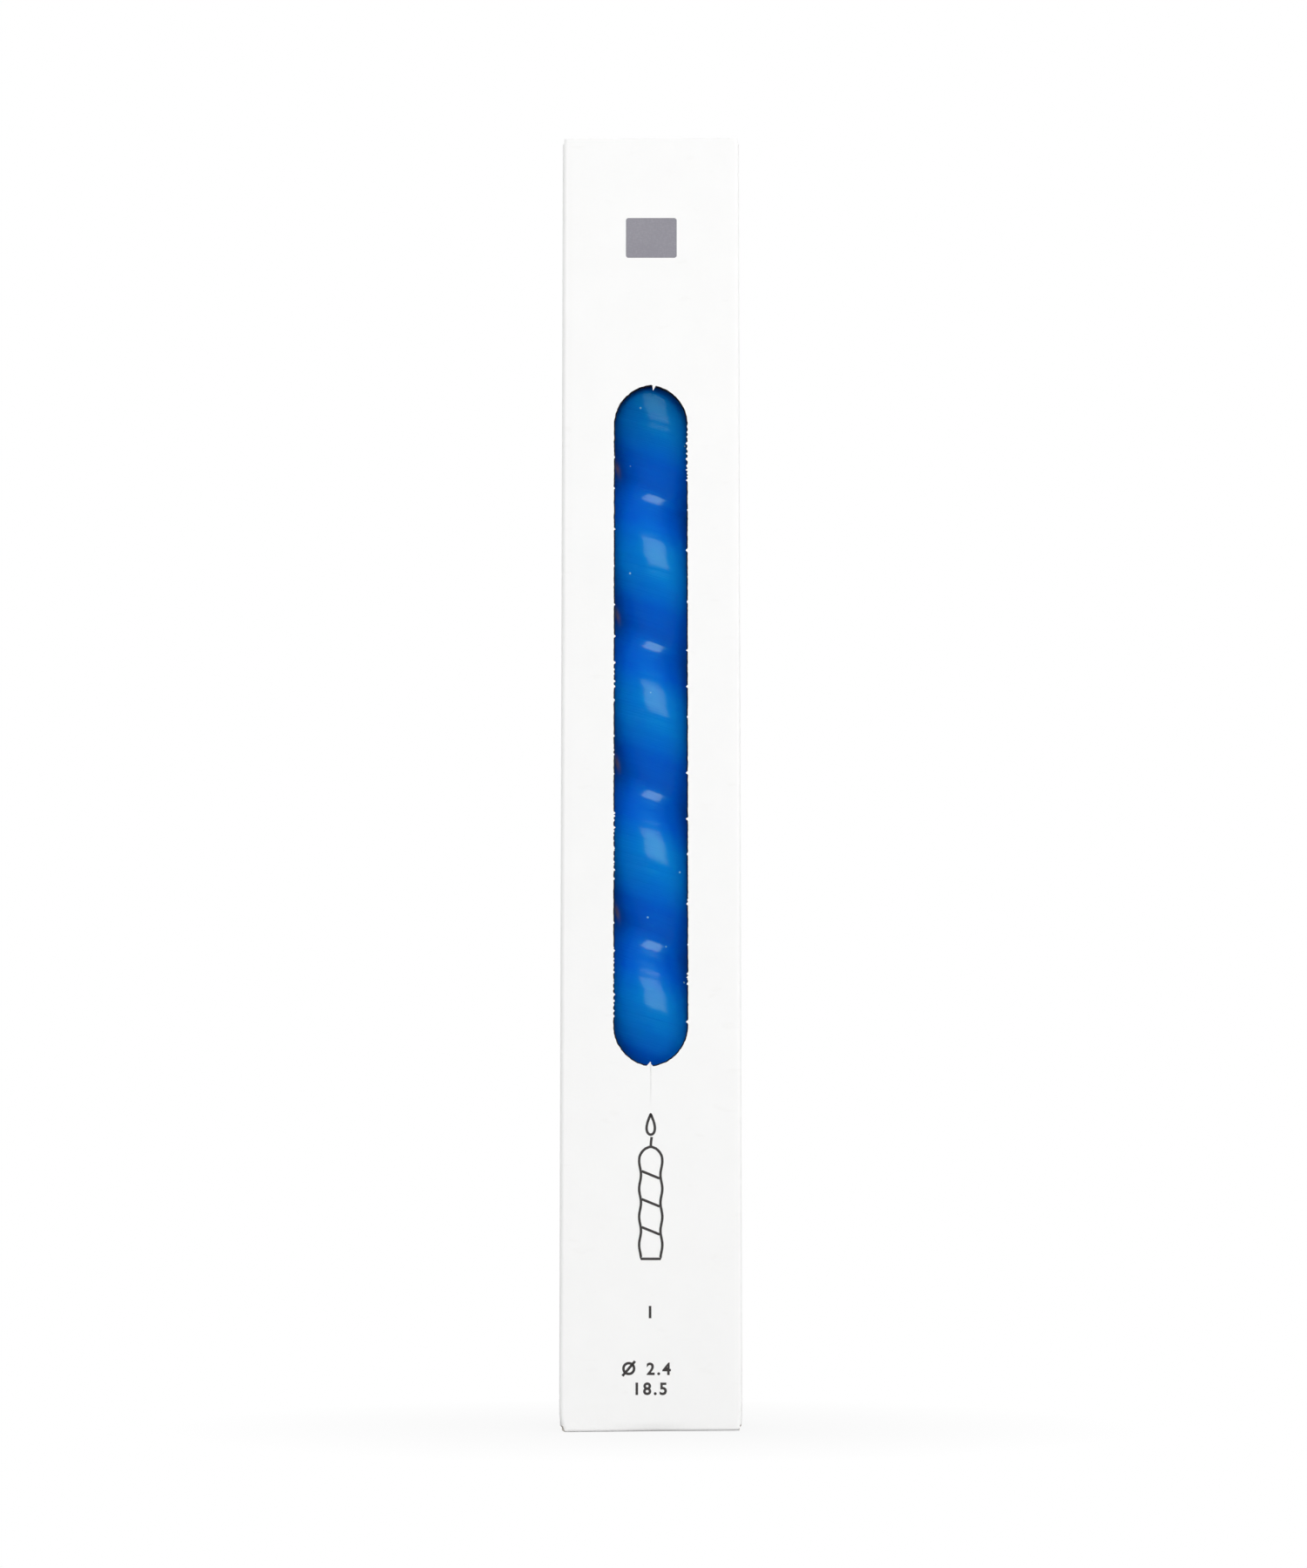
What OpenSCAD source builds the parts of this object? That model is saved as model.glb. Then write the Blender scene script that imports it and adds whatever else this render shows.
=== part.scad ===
// Spiral candle standing in its window carton, in millimetres.
// The origin is the middle of the carton's base, +Z runs up the candle, and the window faces -Y.

/* [Carton] */
// Outside width of the carton
carton_w = 27.5; // [27.4:0.1:36]
// Outside depth of the carton
carton_d = 27.5; // [27.4:0.1:36]
// Outside height of the carton
carton_h = 199.4; // [198:0.1:260]
// Thickness of the board
board_t = 0.4; // [0.3:0.05:0.5]
// Outside radius of the vertical folds
fold_r = 0.7; // [0.6:0.05:1.2]

/* [Window] */
// Width of the window
window_w = 11.4; // [6:0.1:18]
// Height of the window from tip to tip
window_h = 105.4; // [40:0.1:130]
// Height of the window's lower tip above the base
window_sill = 54.7; // [15:0.1:68]
// Rise of each arched end beyond a half circle
window_point = 0.6; // [0.1:0.05:3]
// Width of the paper nick left at each tip
nick_w = 0.8; // [0.4:0.1:2]
// Height of the paper nick left at each tip
nick_h = 0.7; // [0.3:0.1:2]

/* [Closures] */
// Length of a tuck tongue below its crease
tuck_len = 6.8; // [4:0.1:8.2]
// Lean of a tuck tongue away from the panel it hides behind, in degrees
tuck_lean = 6.5; // [5:0.5:8]
// Gap between a tongue's crease and the panel it hides behind
tuck_gap = 0.6; // [0.5:0.05:0.8]
// Gap between a tongue's end and the side panel
tuck_side = 0.75; // [0.6:0.05:3]
// Radius of a tongue's free corners
tuck_corner_r = 2.5; // [1:0.1:4]
// Length of a dust flap from its crease
dust_len = 11.5; // [6:0.1:13]
// Set-back of a dust flap's square edge behind the tongue
dust_back = 1; // [0.8:0.1:4]
// Taper of a dust flap's square edge, in degrees
dust_taper = 6; // [2:1:15]
// Set-in of a lid's ends from the carton's sides
lid_side = 0.3; // [0.1:0.05:0.8]
// Running gap at a crease
crease_gap = 0.05; // [0.03:0.01:0.08]
// Gap between a lid and the dust flaps under it
layer_gap = 0.05; // [0.03:0.01:0.1]

/* [Seam] */
// Width of the glue flap
glue_flap_w = 9; // [6:0.1:11]
// Distance of the glue flap's ends from the ends of the sleeve
glue_flap_end = 3; // [2:0.1:8]
// Extra set-back of the glue flap's ends at its free edge
glue_flap_taper = 2.5; // [0.5:0.1:6]
// Thickness of the line of glue
glue_t = 0.06; // [0.04:0.01:0.1]
// Width of the line of glue
glue_w = 5; // [3:0.1:6]

/* [Candle] */
// Diameter of the candle over its crest
candle_d = 24; // [16:0.1:24.8]
// Length of the wax
wax_len = 185; // [120:0.1:186]
// Depth of the spiral groove
groove_depth = 2.9; // [1.5:0.1:4]
// Rise of the spiral in one turn
spiral_pitch = 23.1; // [18:0.1:30]
// Radius over the crest, along the candle
crest_r = 18; // [8:0.5:20]
// Radius at the bottom of the groove
groove_r = 3.8; // [1.5:0.1:6]
// Height at which a groove crosses the front of the candle
groove_z = 120.3; // [90:0.1:140]
// Height of the rounded top
dome_h = 9; // [4:0.1:14]
// Radius of the flat at the very top
tip_r = 3.5; // [2:0.1:6]
// Bevel at the foot of the wax
foot_bevel = 1; // [0.4:0.1:2]
// Gap under the candle
candle_gap = 0.1; // [0.05:0.05:0.5]

/* [Wick] */
// Diameter of the wick
wick_d = 2; // [1:0.1:3]
// Length of wick that stands free of the wax
wick_free = 10; // [4:0.1:11]
// Height of the bevelled wick end
wick_end = 0.5; // [0.2:0.1:1]

/* [Hidden] */

half_w = carton_w / 2;
half_d = carton_d / 2;
// A crease bead is as thick as the board and turns on its own middle line.
bead_r = board_t / 2;
// Panels end just clear of the bead that turns on them.
lid_seat = board_t + crease_gap;
dust_seat = 2 * board_t + layer_gap + crease_gap;
// Height of a dust flap's crease below the outside of its lid
dust_drop = board_t + layer_gap + bead_r;
// Crease lines of a lid and its tongue, as distances from the carton's middle
lid_crease = half_d - bead_r;
tuck_crease = half_d - board_t - tuck_gap - bead_r;
dust_crease = half_w - bead_r;
lid_w = carton_w - 2 * lid_side;
tuck_w = carton_w - 2 * board_t - 2 * tuck_side;
// Outside of the glue flap, which lies against the left side panel
seam_x = -half_w + board_t + glue_t;
// Room that a leaning tongue takes from the inside of the panel it hides behind
tuck_room = tuck_gap + bead_r + tuck_len * sin(tuck_lean) + bead_r * cos(tuck_lean);
// The candle stands in the middle of the room that the seam and the lower tongue leave free.
candle_x = (board_t + glue_t) / 2;
candle_y = -tuck_room / 2;
candle_z = 2 * board_t + layer_gap + candle_gap;
candle_r = candle_d / 2;
// Arched window ends: each side is an arc that meets its twin at the tip.
arch_rise = window_w / 2 + window_point;
arch_r = (pow(window_w / 2, 2) + pow(arch_rise, 2)) / window_w;
arch_shift = arch_r - window_w / 2;
// Spiral section: a crest arc, a straight flank and a groove arc, each touching the next.
half_pitch = spiral_pitch / 2;
// The crest arc can be no wider than one that touches the groove arc with no flank between them.
crest_arc = min(crest_r, (pow(half_pitch, 2) + pow(groove_depth, 2)) / (2 * groove_depth) - groove_r);
arc_span = 2 * (crest_arc + groove_r) - groove_depth;
flank_lead = sqrt(max(pow(half_pitch, 2) - arc_span * groove_depth, 0));
flank = 2 * atan((half_pitch - flank_lead) / arc_span);
crest_reach = crest_arc * sin(flank);
groove_reach = groove_r * sin(flank);
// Fineness of the wax surface
wax_sides = 36;
wax_step = 1.9;
dome_rings = 6;
through = 1;

BOARD = "whitesmoke";
KRAFT = "burlywood";
WAX = [0.01, 0.35, 0.72];

// Distance along the candle from the nearest groove, at an angle from the front towards +X
function groove_offset(angle, z) =
    let (turns = (z - groove_z) / spiral_pitch + angle / 360)
    abs(turns - round(turns)) * spiral_pitch;

// Radius of the spiral at a distance along the candle from the groove
function spiral_radius(offset) =
    let (from_crest = half_pitch - offset)
    offset < groove_reach
        ? candle_r - groove_depth + groove_r - sqrt(pow(groove_r, 2) - pow(offset, 2))
        : from_crest < crest_reach
            ? candle_r - crest_arc + sqrt(pow(crest_arc, 2) - pow(from_crest, 2))
            : candle_r - crest_arc * (1 - cos(flank)) - (from_crest - crest_reach) * tan(flank);

// Share of the radius that is left in the bevelled foot and the rounded top
function end_share(h) =
    h < foot_bevel
        ? 1 - (foot_bevel - h) / candle_r
        : h < wax_len - dome_h
            ? 1
            : let (rise = (h - wax_len + dome_h) / dome_h, tip = tip_r / candle_r)
              sqrt(1 - (1 - tip * tip) * rise * rise);

function ring_point(i, h) =
    let (angle = 360 * i / wax_sides, r = end_share(h) * spiral_radius(groove_offset(angle, candle_z + h)))
    [candle_x + r * sin(angle), candle_y - r * cos(angle), candle_z + h];

// One half of a vertical fold: an eighth of a ring of board round its own centre line
module fold_half(x, y, start, z, h) {
    reach = 2 * fold_r;
    end = start + 45;
    translate([x, y, z])
        linear_extrude(h)
            intersection() {
                difference() {
                    circle(fold_r, $fn = 64);
                    circle(fold_r - board_t, $fn = 64);
                }
                polygon([[0, 0], reach * [cos(start), sin(start)], reach * [cos(end), sin(end)]]);
            }
}

// Rounded edge of a flap, along +X, on the side that faces +Y
module crease_bead(length) {
    translate([-length / 2, 0, 0])
        rotate([90, 0, 90])
            rotate([0, 0, -90])
                rotate_extrude(angle = 180, $fn = 64)
                    square([bead_r, length]);
}

// Turns a top closure end for end, to make the bottom one
module at_bottom() {
    translate([0, 0, carton_h])
        rotate([180, 0, 0])
            children();
}

module window_arch() {
    intersection_for (side = [-1, 1])
        translate([side * arch_shift, 0])
            circle(arch_r, $fn = 96);
}

// Paper nick that hangs from the upper tip of the window
module window_nick() {
    translate([0, arch_rise])
        polygon([
            [-nick_w, nick_h], [nick_w, nick_h],
            [nick_w / 2, -nick_h / 2], [0, -nick_h], [-nick_w / 2, -nick_h / 2],
        ]);
}

module window_outline() {
    straight = window_h - 2 * arch_rise;
    difference() {
        union() {
            translate([-window_w / 2, 0])
                square([window_w, straight]);
            translate([0, straight])
                window_arch();
            window_arch();
        }
        translate([0, straight])
            window_nick();
        mirror([0, 1])
            window_nick();
    }
}

module front_panel() {
    h = carton_h - lid_seat;
    color(BOARD)
        difference() {
            union() {
                translate([-half_w + fold_r, -half_d, lid_seat])
                    cube([carton_w - 2 * fold_r, board_t, h]);
                fold_half(-half_w + fold_r, -half_d + fold_r, 225, lid_seat, h);
                fold_half(half_w - fold_r, -half_d + fold_r, 270, lid_seat, h);
            }
            translate([0, -half_d + board_t + through, window_sill + arch_rise])
                rotate([90, 0, 0])
                    linear_extrude(board_t + 2 * through)
                        window_outline();
        }
}

module back_panel() {
    h = carton_h - lid_seat;
    fold_x = seam_x + fold_r;
    color(BOARD) {
        translate([fold_x, half_d - board_t, 0])
            cube([half_w - fold_r - fold_x, board_t, h]);
        fold_half(half_w - fold_r, half_d - fold_r, 45, 0, h);
        fold_half(fold_x, half_d - fold_r, 90, 0, h);
    }
}

module right_side_panel() {
    h = carton_h - 2 * dust_seat;
    color(BOARD) {
        translate([half_w - board_t, -half_d + fold_r, dust_seat])
            cube([board_t, carton_d - 2 * fold_r, h]);
        fold_half(half_w - fold_r, -half_d + fold_r, 315, dust_seat, h);
        fold_half(half_w - fold_r, half_d - fold_r, 0, dust_seat, h);
    }
}

// The left side panel's rear edge is a cut edge that covers the glue flap.
module left_side_panel() {
    h = carton_h - 2 * dust_seat;
    color(BOARD) {
        translate([-half_w, -half_d + fold_r, dust_seat])
            cube([board_t, carton_d - fold_r - crease_gap, h]);
        fold_half(-half_w + fold_r, -half_d + fold_r, 180, dust_seat, h);
    }
}

module glue_flap() {
    fold_y = half_d - fold_r;
    low = dust_seat + glue_flap_end;
    high = carton_h - low;
    free_y = half_d - glue_flap_w;
    color(KRAFT) {
        translate([seam_x, 0, 0])
            rotate([90, 0, 90])
                linear_extrude(board_t)
                    polygon([
                        [fold_y, low],
                        [fold_y, high],
                        [free_y, high - glue_flap_taper],
                        [free_y, low + glue_flap_taper]
                    ]);
        fold_half(seam_x + fold_r, fold_y, 135, low, high - low);
    }
}

module seam_glue() {
    low = dust_seat + glue_flap_end + glue_flap_taper;
    middle_y = half_d - (fold_r + glue_flap_w) / 2;
    color("ivory")
        translate([-half_w + board_t, middle_y - glue_w / 2, low])
            cube([glue_t, glue_w, carton_h - 2 * low]);
}

// A lid reaches from its crease at the back to the tongue's bead at the front.
module lid() {
    front_y = -tuck_crease + bead_r + crease_gap;
    color(BOARD) {
        translate([-lid_w / 2, front_y, carton_h - board_t])
            cube([lid_w, lid_crease - front_y, board_t]);
        translate([0, lid_crease, carton_h - bead_r])
            crease_bead(lid_w);
    }
}

module tuck_outline() {
    inner_w = tuck_w - 2 * tuck_corner_r;
    translate([-tuck_w / 2, tuck_corner_r - tuck_len])
        square([tuck_w, tuck_len - tuck_corner_r]);
    translate([-inner_w / 2, -tuck_len])
        square([inner_w, tuck_len]);
    for (side = [-1, 1])
        translate([side * inner_w / 2, tuck_corner_r - tuck_len])
            circle(tuck_corner_r, $fn = 64);
}

// A tongue hangs from its bead and leans towards the middle of the carton.
module tuck_tongue() {
    color(BOARD)
        translate([0, -tuck_crease, carton_h - bead_r])
            rotate([tuck_lean, 0, 0]) {
                translate([0, bead_r, 0])
                    rotate([90, 0, 0])
                        linear_extrude(board_t)
                            tuck_outline();
                rotate([90, 0, 0])
                    crease_bead(tuck_w);
            }
}

// A left dust flap lies level, bevelled at 45 degrees beside the lid's crease.
module dust_flap() {
    back_y = half_d - board_t - dust_back;
    front_y = -tuck_crease + bead_r + dust_back;
    edge_l = back_y - front_y;
    color(BOARD)
        translate([-dust_crease, 0, carton_h - dust_drop]) {
            translate([0, 0, -bead_r])
                linear_extrude(board_t)
                    polygon([
                        [0, front_y],
                        [dust_len, front_y + dust_len * tan(dust_taper)],
                        [dust_len, back_y - dust_len],
                        [0, back_y]
                    ]);
            translate([0, front_y + edge_l / 2, 0])
                rotate([0, 0, 90])
                    crease_bead(edge_l);
        }
}

module top_lid() { lid(); }
module top_tuck_tongue() { tuck_tongue(); }
module top_left_dust_flap() { dust_flap(); }
module top_right_dust_flap() { mirror([1, 0, 0]) dust_flap(); }
module bottom_lid() { at_bottom() lid(); }
module bottom_tuck_tongue() { at_bottom() tuck_tongue(); }
module bottom_left_dust_flap() { at_bottom() dust_flap(); }
module bottom_right_dust_flap() { at_bottom() mirror([1, 0, 0]) dust_flap(); }

// The wax is a stack of rings whose radius follows the spiral, drilled for the wick.
module wax_body() {
    body_rings = ceil((wax_len - dome_h - foot_bevel) / wax_step);
    heights = concat(
        [0],
        [for (k = [0 : body_rings]) foot_bevel + (wax_len - dome_h - foot_bevel) * k / body_rings],
        [for (k = [1 : dome_rings]) wax_len - dome_h + dome_h * sin(90 * k / dome_rings)]
    );
    last = len(heights) - 1;
    points = [for (h = heights, i = [0 : wax_sides - 1]) ring_point(i, h)];
    walls = [
        for (k = [0 : last - 1], i = [0 : wax_sides - 1])
            let (
                next = (i + 1) % wax_sides,
                low = k * wax_sides,
                high = low + wax_sides
            )
            each [[low + i, high + i, low + next], [low + next, high + i, high + next]]
    ];
    base = [for (i = [0 : wax_sides - 1]) i];
    top = [for (i = [wax_sides - 1 : -1 : 0]) last * wax_sides + i];
    color(WAX)
        difference() {
            polyhedron(points, concat(walls, [base, top]));
            translate([candle_x, candle_y, candle_z - through])
                cylinder(d = wick_d, h = wax_len + 2 * through, $fn = 48);
        }
}

module wick() {
    straight = wax_len + wick_free - wick_end;
    color("ivory")
        translate([candle_x, candle_y, candle_z]) {
            cylinder(d = wick_d, h = straight, $fn = 48);
            translate([0, 0, straight])
                cylinder(d1 = wick_d, d2 = wick_d - wick_end, h = wick_end, $fn = 48);
        }
}

front_panel();
back_panel();
left_side_panel();
right_side_panel();
glue_flap();
seam_glue();
top_lid();
top_tuck_tongue();
top_left_dust_flap();
top_right_dust_flap();
bottom_lid();
bottom_tuck_tongue();
bottom_left_dust_flap();
bottom_right_dust_flap();
wax_body();
wick();
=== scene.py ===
"""Spiral candle standing in a window carton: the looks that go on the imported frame.

Shapes are worked out in millimetres: x runs to the right of the front, y to the back and z up.
"""

import logging
import math
from dataclasses import dataclass
from enum import Enum
from typing import Callable, Optional

import bpy
import numpy as np
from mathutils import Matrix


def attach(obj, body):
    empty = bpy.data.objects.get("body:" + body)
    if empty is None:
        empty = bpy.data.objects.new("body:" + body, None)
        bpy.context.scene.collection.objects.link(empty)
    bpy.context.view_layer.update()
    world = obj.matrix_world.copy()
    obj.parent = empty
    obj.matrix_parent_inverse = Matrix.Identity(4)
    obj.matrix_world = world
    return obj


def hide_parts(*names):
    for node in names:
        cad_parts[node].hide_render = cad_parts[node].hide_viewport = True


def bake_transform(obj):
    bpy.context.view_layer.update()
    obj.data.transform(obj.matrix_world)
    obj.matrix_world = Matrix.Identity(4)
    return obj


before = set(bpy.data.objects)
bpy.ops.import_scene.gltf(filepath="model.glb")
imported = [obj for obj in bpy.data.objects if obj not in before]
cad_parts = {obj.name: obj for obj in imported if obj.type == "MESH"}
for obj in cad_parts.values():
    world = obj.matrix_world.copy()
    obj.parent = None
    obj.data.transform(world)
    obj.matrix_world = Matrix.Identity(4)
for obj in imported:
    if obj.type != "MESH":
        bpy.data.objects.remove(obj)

logging.basicConfig(level=logging.INFO, format="%(name)s: %(message)s")
LOG = logging.getLogger("spiral_candle")
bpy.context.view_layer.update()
MM = 0.001
TURN = 2 * math.pi
SPIRAL_PITCH = 23.1
RIGHTWARD, BACKWARD, UPWARD = np.eye(3)
MIRROR = np.array([-1.0, 1.0])
WHITE = (1.0, 1.0, 1.0)

Array = np.ndarray
Colour = tuple[float, float, float]
Vector = tuple[float, float, float]
Pair = tuple[float, float]
Material = bpy.types.Material
Socket = bpy.types.NodeSocket


class Side(Enum):
    """The three kinds of board surface, as material slots of a board piece."""

    OUTSIDE = 0
    INSIDE = 1
    CUT = 2


class End(Enum):
    """The two ends of the carton."""

    TOP = "top"
    BOTTOM = "bottom"


class Hand(Enum):
    """The two sides of the carton, with the sign of their x."""

    LEFT = -1
    RIGHT = 1


# Mesh helpers


@dataclass
class Solid:
    """Points in millimetres with faces and one material slot number per face."""

    points: Array
    faces: Array
    slots: Array


def quads_of(index: Array) -> Array:
    """Quads between neighbouring rows and columns of a grid of point numbers.

    Args:
        index: point numbers, one row of the grid per row.

    Returns:
        One row of four point numbers per quad.
    """
    corners = (index[:-1, :-1], index[:-1, 1:], index[1:, 1:], index[1:, :-1])
    return np.stack(corners, axis=-1).reshape(-1, 4)


def rim_quads(line: Array, count: int) -> Array:
    """Quads that join a border line of the outer grid to the same line of the inner one, count further on."""
    a, b = line[:-1], line[1:]
    return np.stack([a, b, b + count, a + count], axis=-1)


def board_shell(outer: Array, normals: Array, thickness: float, ring: bool = False,
                inner_shift: Optional[Array] = None) -> Solid:
    """A sheet of board: the outer grid, the same grid set back along its normals, and the cut rims.

    Args:
        outer: grid of outside points, rows by columns by 3.
        normals: outward unit normals of the same shape.
        thickness: thickness of the board.
        ring: whether the last column joins the first.
        inner_shift: extra shift of the inside points, of the same shape.

    Returns:
        A closed solid whose slots follow Side.
    """
    rows, columns = outer.shape[:2]
    inner = outer - thickness * normals
    if inner_shift is not None:
        inner = inner + inner_shift
    count = rows * columns
    index = np.arange(count).reshape(rows, columns)
    if ring:
        index = np.concatenate([index, index[:, :1]], axis=1)
    front = quads_of(index)
    back = front[:, ::-1] + count
    rims = [rim_quads(index[0, ::-1], count), rim_quads(index[-1], count)]
    if not ring:
        rims += [rim_quads(index[:, 0], count), rim_quads(index[::-1, -1], count)]
    edge = np.concatenate(rims)
    faces = np.concatenate([front, back, edge])
    slots = np.repeat([side.value for side in Side], [len(front), len(back), len(edge)])
    points = np.concatenate([outer.reshape(-1, 3), inner.reshape(-1, 3)])
    across = np.cross(outer[0, 1] - outer[0, 0], outer[1, 0] - outer[0, 0])
    if float(across @ normals[0, 0]) < 0:
        faces = faces[:, ::-1]
    return Solid(points, faces, slots)


def tube_solid(points: Array) -> Solid:
    """A closed body from rings: walls between the rings, and a fan of triangles at each end pole.

    Args:
        points: rings by columns by 3; a pole is the mean of the first or last ring.

    Returns:
        A closed solid with a single slot.
    """
    rings, columns = points.shape[:2]
    count = rings * columns
    index = np.arange(count).reshape(rings, columns)
    walls = quads_of(np.concatenate([index, index[:, :1]], axis=1))
    low, high = index[0], index[-1]
    no_corner = np.full(columns, -1)
    low_fan = np.stack([np.roll(low, -1), low, np.full(columns, count), no_corner], axis=-1)
    high_fan = np.stack([high, np.roll(high, -1), np.full(columns, count + 1), no_corner], axis=-1)
    faces = np.concatenate([walls, low_fan, high_fan])
    poles = points[[0, -1]].mean(axis=1)
    return Solid(np.concatenate([points.reshape(-1, 3), poles]), faces, np.zeros(len(faces), int))


def new_piece(name: str, solid: Solid, materials: list[Material], sharp_deg: float = 35.0) -> bpy.types.Object:
    """A mesh object at the origin, in metres, smooth except at sharp edges.

    Args:
        name: name of the piece.
        solid: its points, faces and slots; a corner of -1 is left out of its face.
        materials: materials in slot order.
        sharp_deg: angle above which an edge stays sharp.

    Returns:
        The linked object.
    """
    mesh = bpy.data.meshes.new(name)
    faces = [tuple(v for v in face if v >= 0) for face in solid.faces.tolist()]
    mesh.from_pydata((solid.points * MM).tolist(), [], faces)
    mesh.polygons.foreach_set("material_index", solid.slots.astype(np.int32))
    mesh.polygons.foreach_set("use_smooth", np.ones(len(faces), dtype=bool))
    mesh.set_sharp_from_angle(angle=math.radians(sharp_deg))
    for material in materials:
        mesh.materials.append(material)
    mesh.update()
    piece = bpy.data.objects.new(name, mesh)
    bpy.context.scene.collection.objects.link(piece)
    return piece


def smooth(value: Array) -> Array:
    """Smooth step from 0 to 1 of a value that is clipped to that range."""
    t = np.clip(value, 0.0, 1.0)
    return t * t * (3.0 - 2.0 * t)


def tent(away: Array, half: Array | float) -> Array:
    """A tent: 1 in the middle, falling evenly to 0 at the half width and past it."""
    return np.clip(1.0 - np.abs(away) / half, 0.0, 1.0)


def round_angles(count: int) -> Array:
    """Evenly spread angles of one turn, in radians."""
    return np.linspace(0.0, TURN, count, endpoint=False)


# Finishes


class NodeTree:
    """Short calls to lay out a shader tree."""

    def __init__(self, tree: bpy.types.NodeTree) -> None:
        """Keeps the tree that the calls work on."""
        self.tree = tree

    def fill(self, node: bpy.types.Node, inputs: dict) -> None:
        """Sets or links the inputs of a node.

        Args:
            node: the node.
            inputs: socket name or number to a value or to an output socket to link from.
        """
        for key, value in inputs.items():
            socket = node.inputs[key]
            if isinstance(value, Socket):
                self.tree.links.new(value, socket)
            else:
                socket.default_value = (*value, 1.0) if socket.type == "RGBA" else value

    def add(self, kind: str, inputs: Optional[dict] = None, **settings: object) -> bpy.types.Node:
        """A new node, with its attributes set first and then its inputs.

        Args:
            kind: the node's type name.
            inputs: inputs, as fill takes them.
            settings: attributes of the node.

        Returns:
            The node.
        """
        node = self.tree.nodes.new(kind)
        for key, value in settings.items():
            setattr(node, key, value)
        self.fill(node, inputs or {})
        return node

    def math(self, operation: str, a: object, b: object, clamp: bool = False) -> Socket:
        """The output of a Math node."""
        return self.add("ShaderNodeMath", {0: a, 1: b}, operation=operation, use_clamp=clamp).outputs[0]

    def mix(self, share: object, a: object, b: object) -> Socket:
        """The colour output of a Mix node; its colours are the sockets 6 and 7."""
        return self.add("ShaderNodeMix", {"Factor": share, 6: a, 7: b}, data_type="RGBA").outputs[2]

    def spread(self, value: object, low: float, high: float, to_low: float = 0.0, to_high: float = 1.0) -> Socket:
        """A value moved from one range to another and clipped."""
        limits = {"Value": value, "From Min": low, "From Max": high, "To Min": to_low, "To Max": to_high}
        return self.add("ShaderNodeMapRange", limits, clamp=True).outputs[0]

    def place(self, scale: Vector = (1.0, 1.0, 1.0), turn: Vector = (0.0, 0.0, 0.0)) -> Socket:
        """Object coordinates, stretched and turned."""
        where = self.add("ShaderNodeTexCoord").outputs["Object"]
        return self.add("ShaderNodeMapping", {"Vector": where, "Scale": scale, "Rotation": turn}).outputs[0]

    def noise(self, where: Socket, scale: object, detail: float) -> Socket:
        """The value of a Noise Texture."""
        return self.add("ShaderNodeTexNoise", {"Vector": where, "Scale": scale, "Detail": detail}).outputs[0]

    def cells(self, where: Socket, scale: float) -> bpy.types.NodeOutputs:
        """The outputs of a Voronoi Texture, with the distance to the nearest point."""
        return self.add("ShaderNodeTexVoronoi", {"Vector": where, "Scale": scale}, feature="F1").outputs

    def attribute(self, name: str) -> Socket:
        """A number that is stored on the mesh."""
        return self.add("ShaderNodeAttribute", attribute_name=name).outputs["Fac"]

    def bump(self, height: Socket, strength: float, distance: float) -> Socket:
        """The normal that a Bump node makes from a height."""
        return self.add("ShaderNodeBump", {"Height": height, "Strength": strength, "Distance": distance}).outputs[0]


def new_material(name: str) -> tuple[Material, NodeTree, bpy.types.Node]:
    """A new material with nodes.

    Args:
        name: the material's name.

    Returns:
        The material, the calls that lay it out, and its Principled shader.
    """
    material = bpy.data.materials.new(name)
    material.use_nodes = True
    return material, NodeTree(material.node_tree), material.node_tree.nodes["Principled BSDF"]


class FibreGroup:
    """Felted fibres: long fine noise, soft clouds and sparse flecks, shared by board, cotton and ink."""

    sizes = {"Fibre": 2600.0, "Cloud": 160.0, "Fleck": 700.0}
    results = ("Tone", "Flecks", "Height")
    _group: Optional[bpy.types.NodeTree] = None

    @classmethod
    def tree(cls) -> bpy.types.NodeTree:
        """The group, built on first use.

        Returns:
            A group with inputs Fibre, Cloud and Fleck (sizes as texture scales) and outputs
            Tone (clouds, 0 to 1), Flecks (a mask) and Height (for a bump).
        """
        if cls._group is None:
            cls._group = bpy.data.node_groups.new("felted_fibres", "ShaderNodeTree")
            sockets = cls._group.interface
            for key, value in cls.sizes.items():
                sockets.new_socket(key, in_out="INPUT", socket_type="NodeSocketFloat").default_value = value
            for key in cls.results:
                sockets.new_socket(key, in_out="OUTPUT", socket_type="NodeSocketFloat")
            nodes = NodeTree(cls._group)
            size = nodes.add("NodeGroupInput").outputs
            upright = nodes.place((1.0, 1.0, 0.3))
            level = nodes.place((0.35, 0.35, 1.0), (0.0, 0.4, 0.5))
            felt = nodes.math("ADD", nodes.noise(upright, size["Fibre"], 3.0), nodes.noise(level, size["Fibre"], 2.0))
            cloud = nodes.noise(nodes.place(), size["Cloud"], 4.0)
            fleck = nodes.noise(level, size["Fleck"], 2.0)
            nodes.add("NodeGroupOutput", {"Tone": nodes.spread(cloud, 0.3, 0.7),
                                          "Flecks": nodes.spread(fleck, 0.66, 0.74),
                                          "Height": nodes.math("MULTIPLY", felt, 0.5)})
        return cls._group

    @classmethod
    def use(cls, nodes: NodeTree, **sizes: float) -> bpy.types.NodeOutputs:
        """The outputs of the group, placed in a material with its own sizes."""
        return nodes.add("ShaderNodeGroup", sizes, node_tree=cls.tree()).outputs


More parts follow.
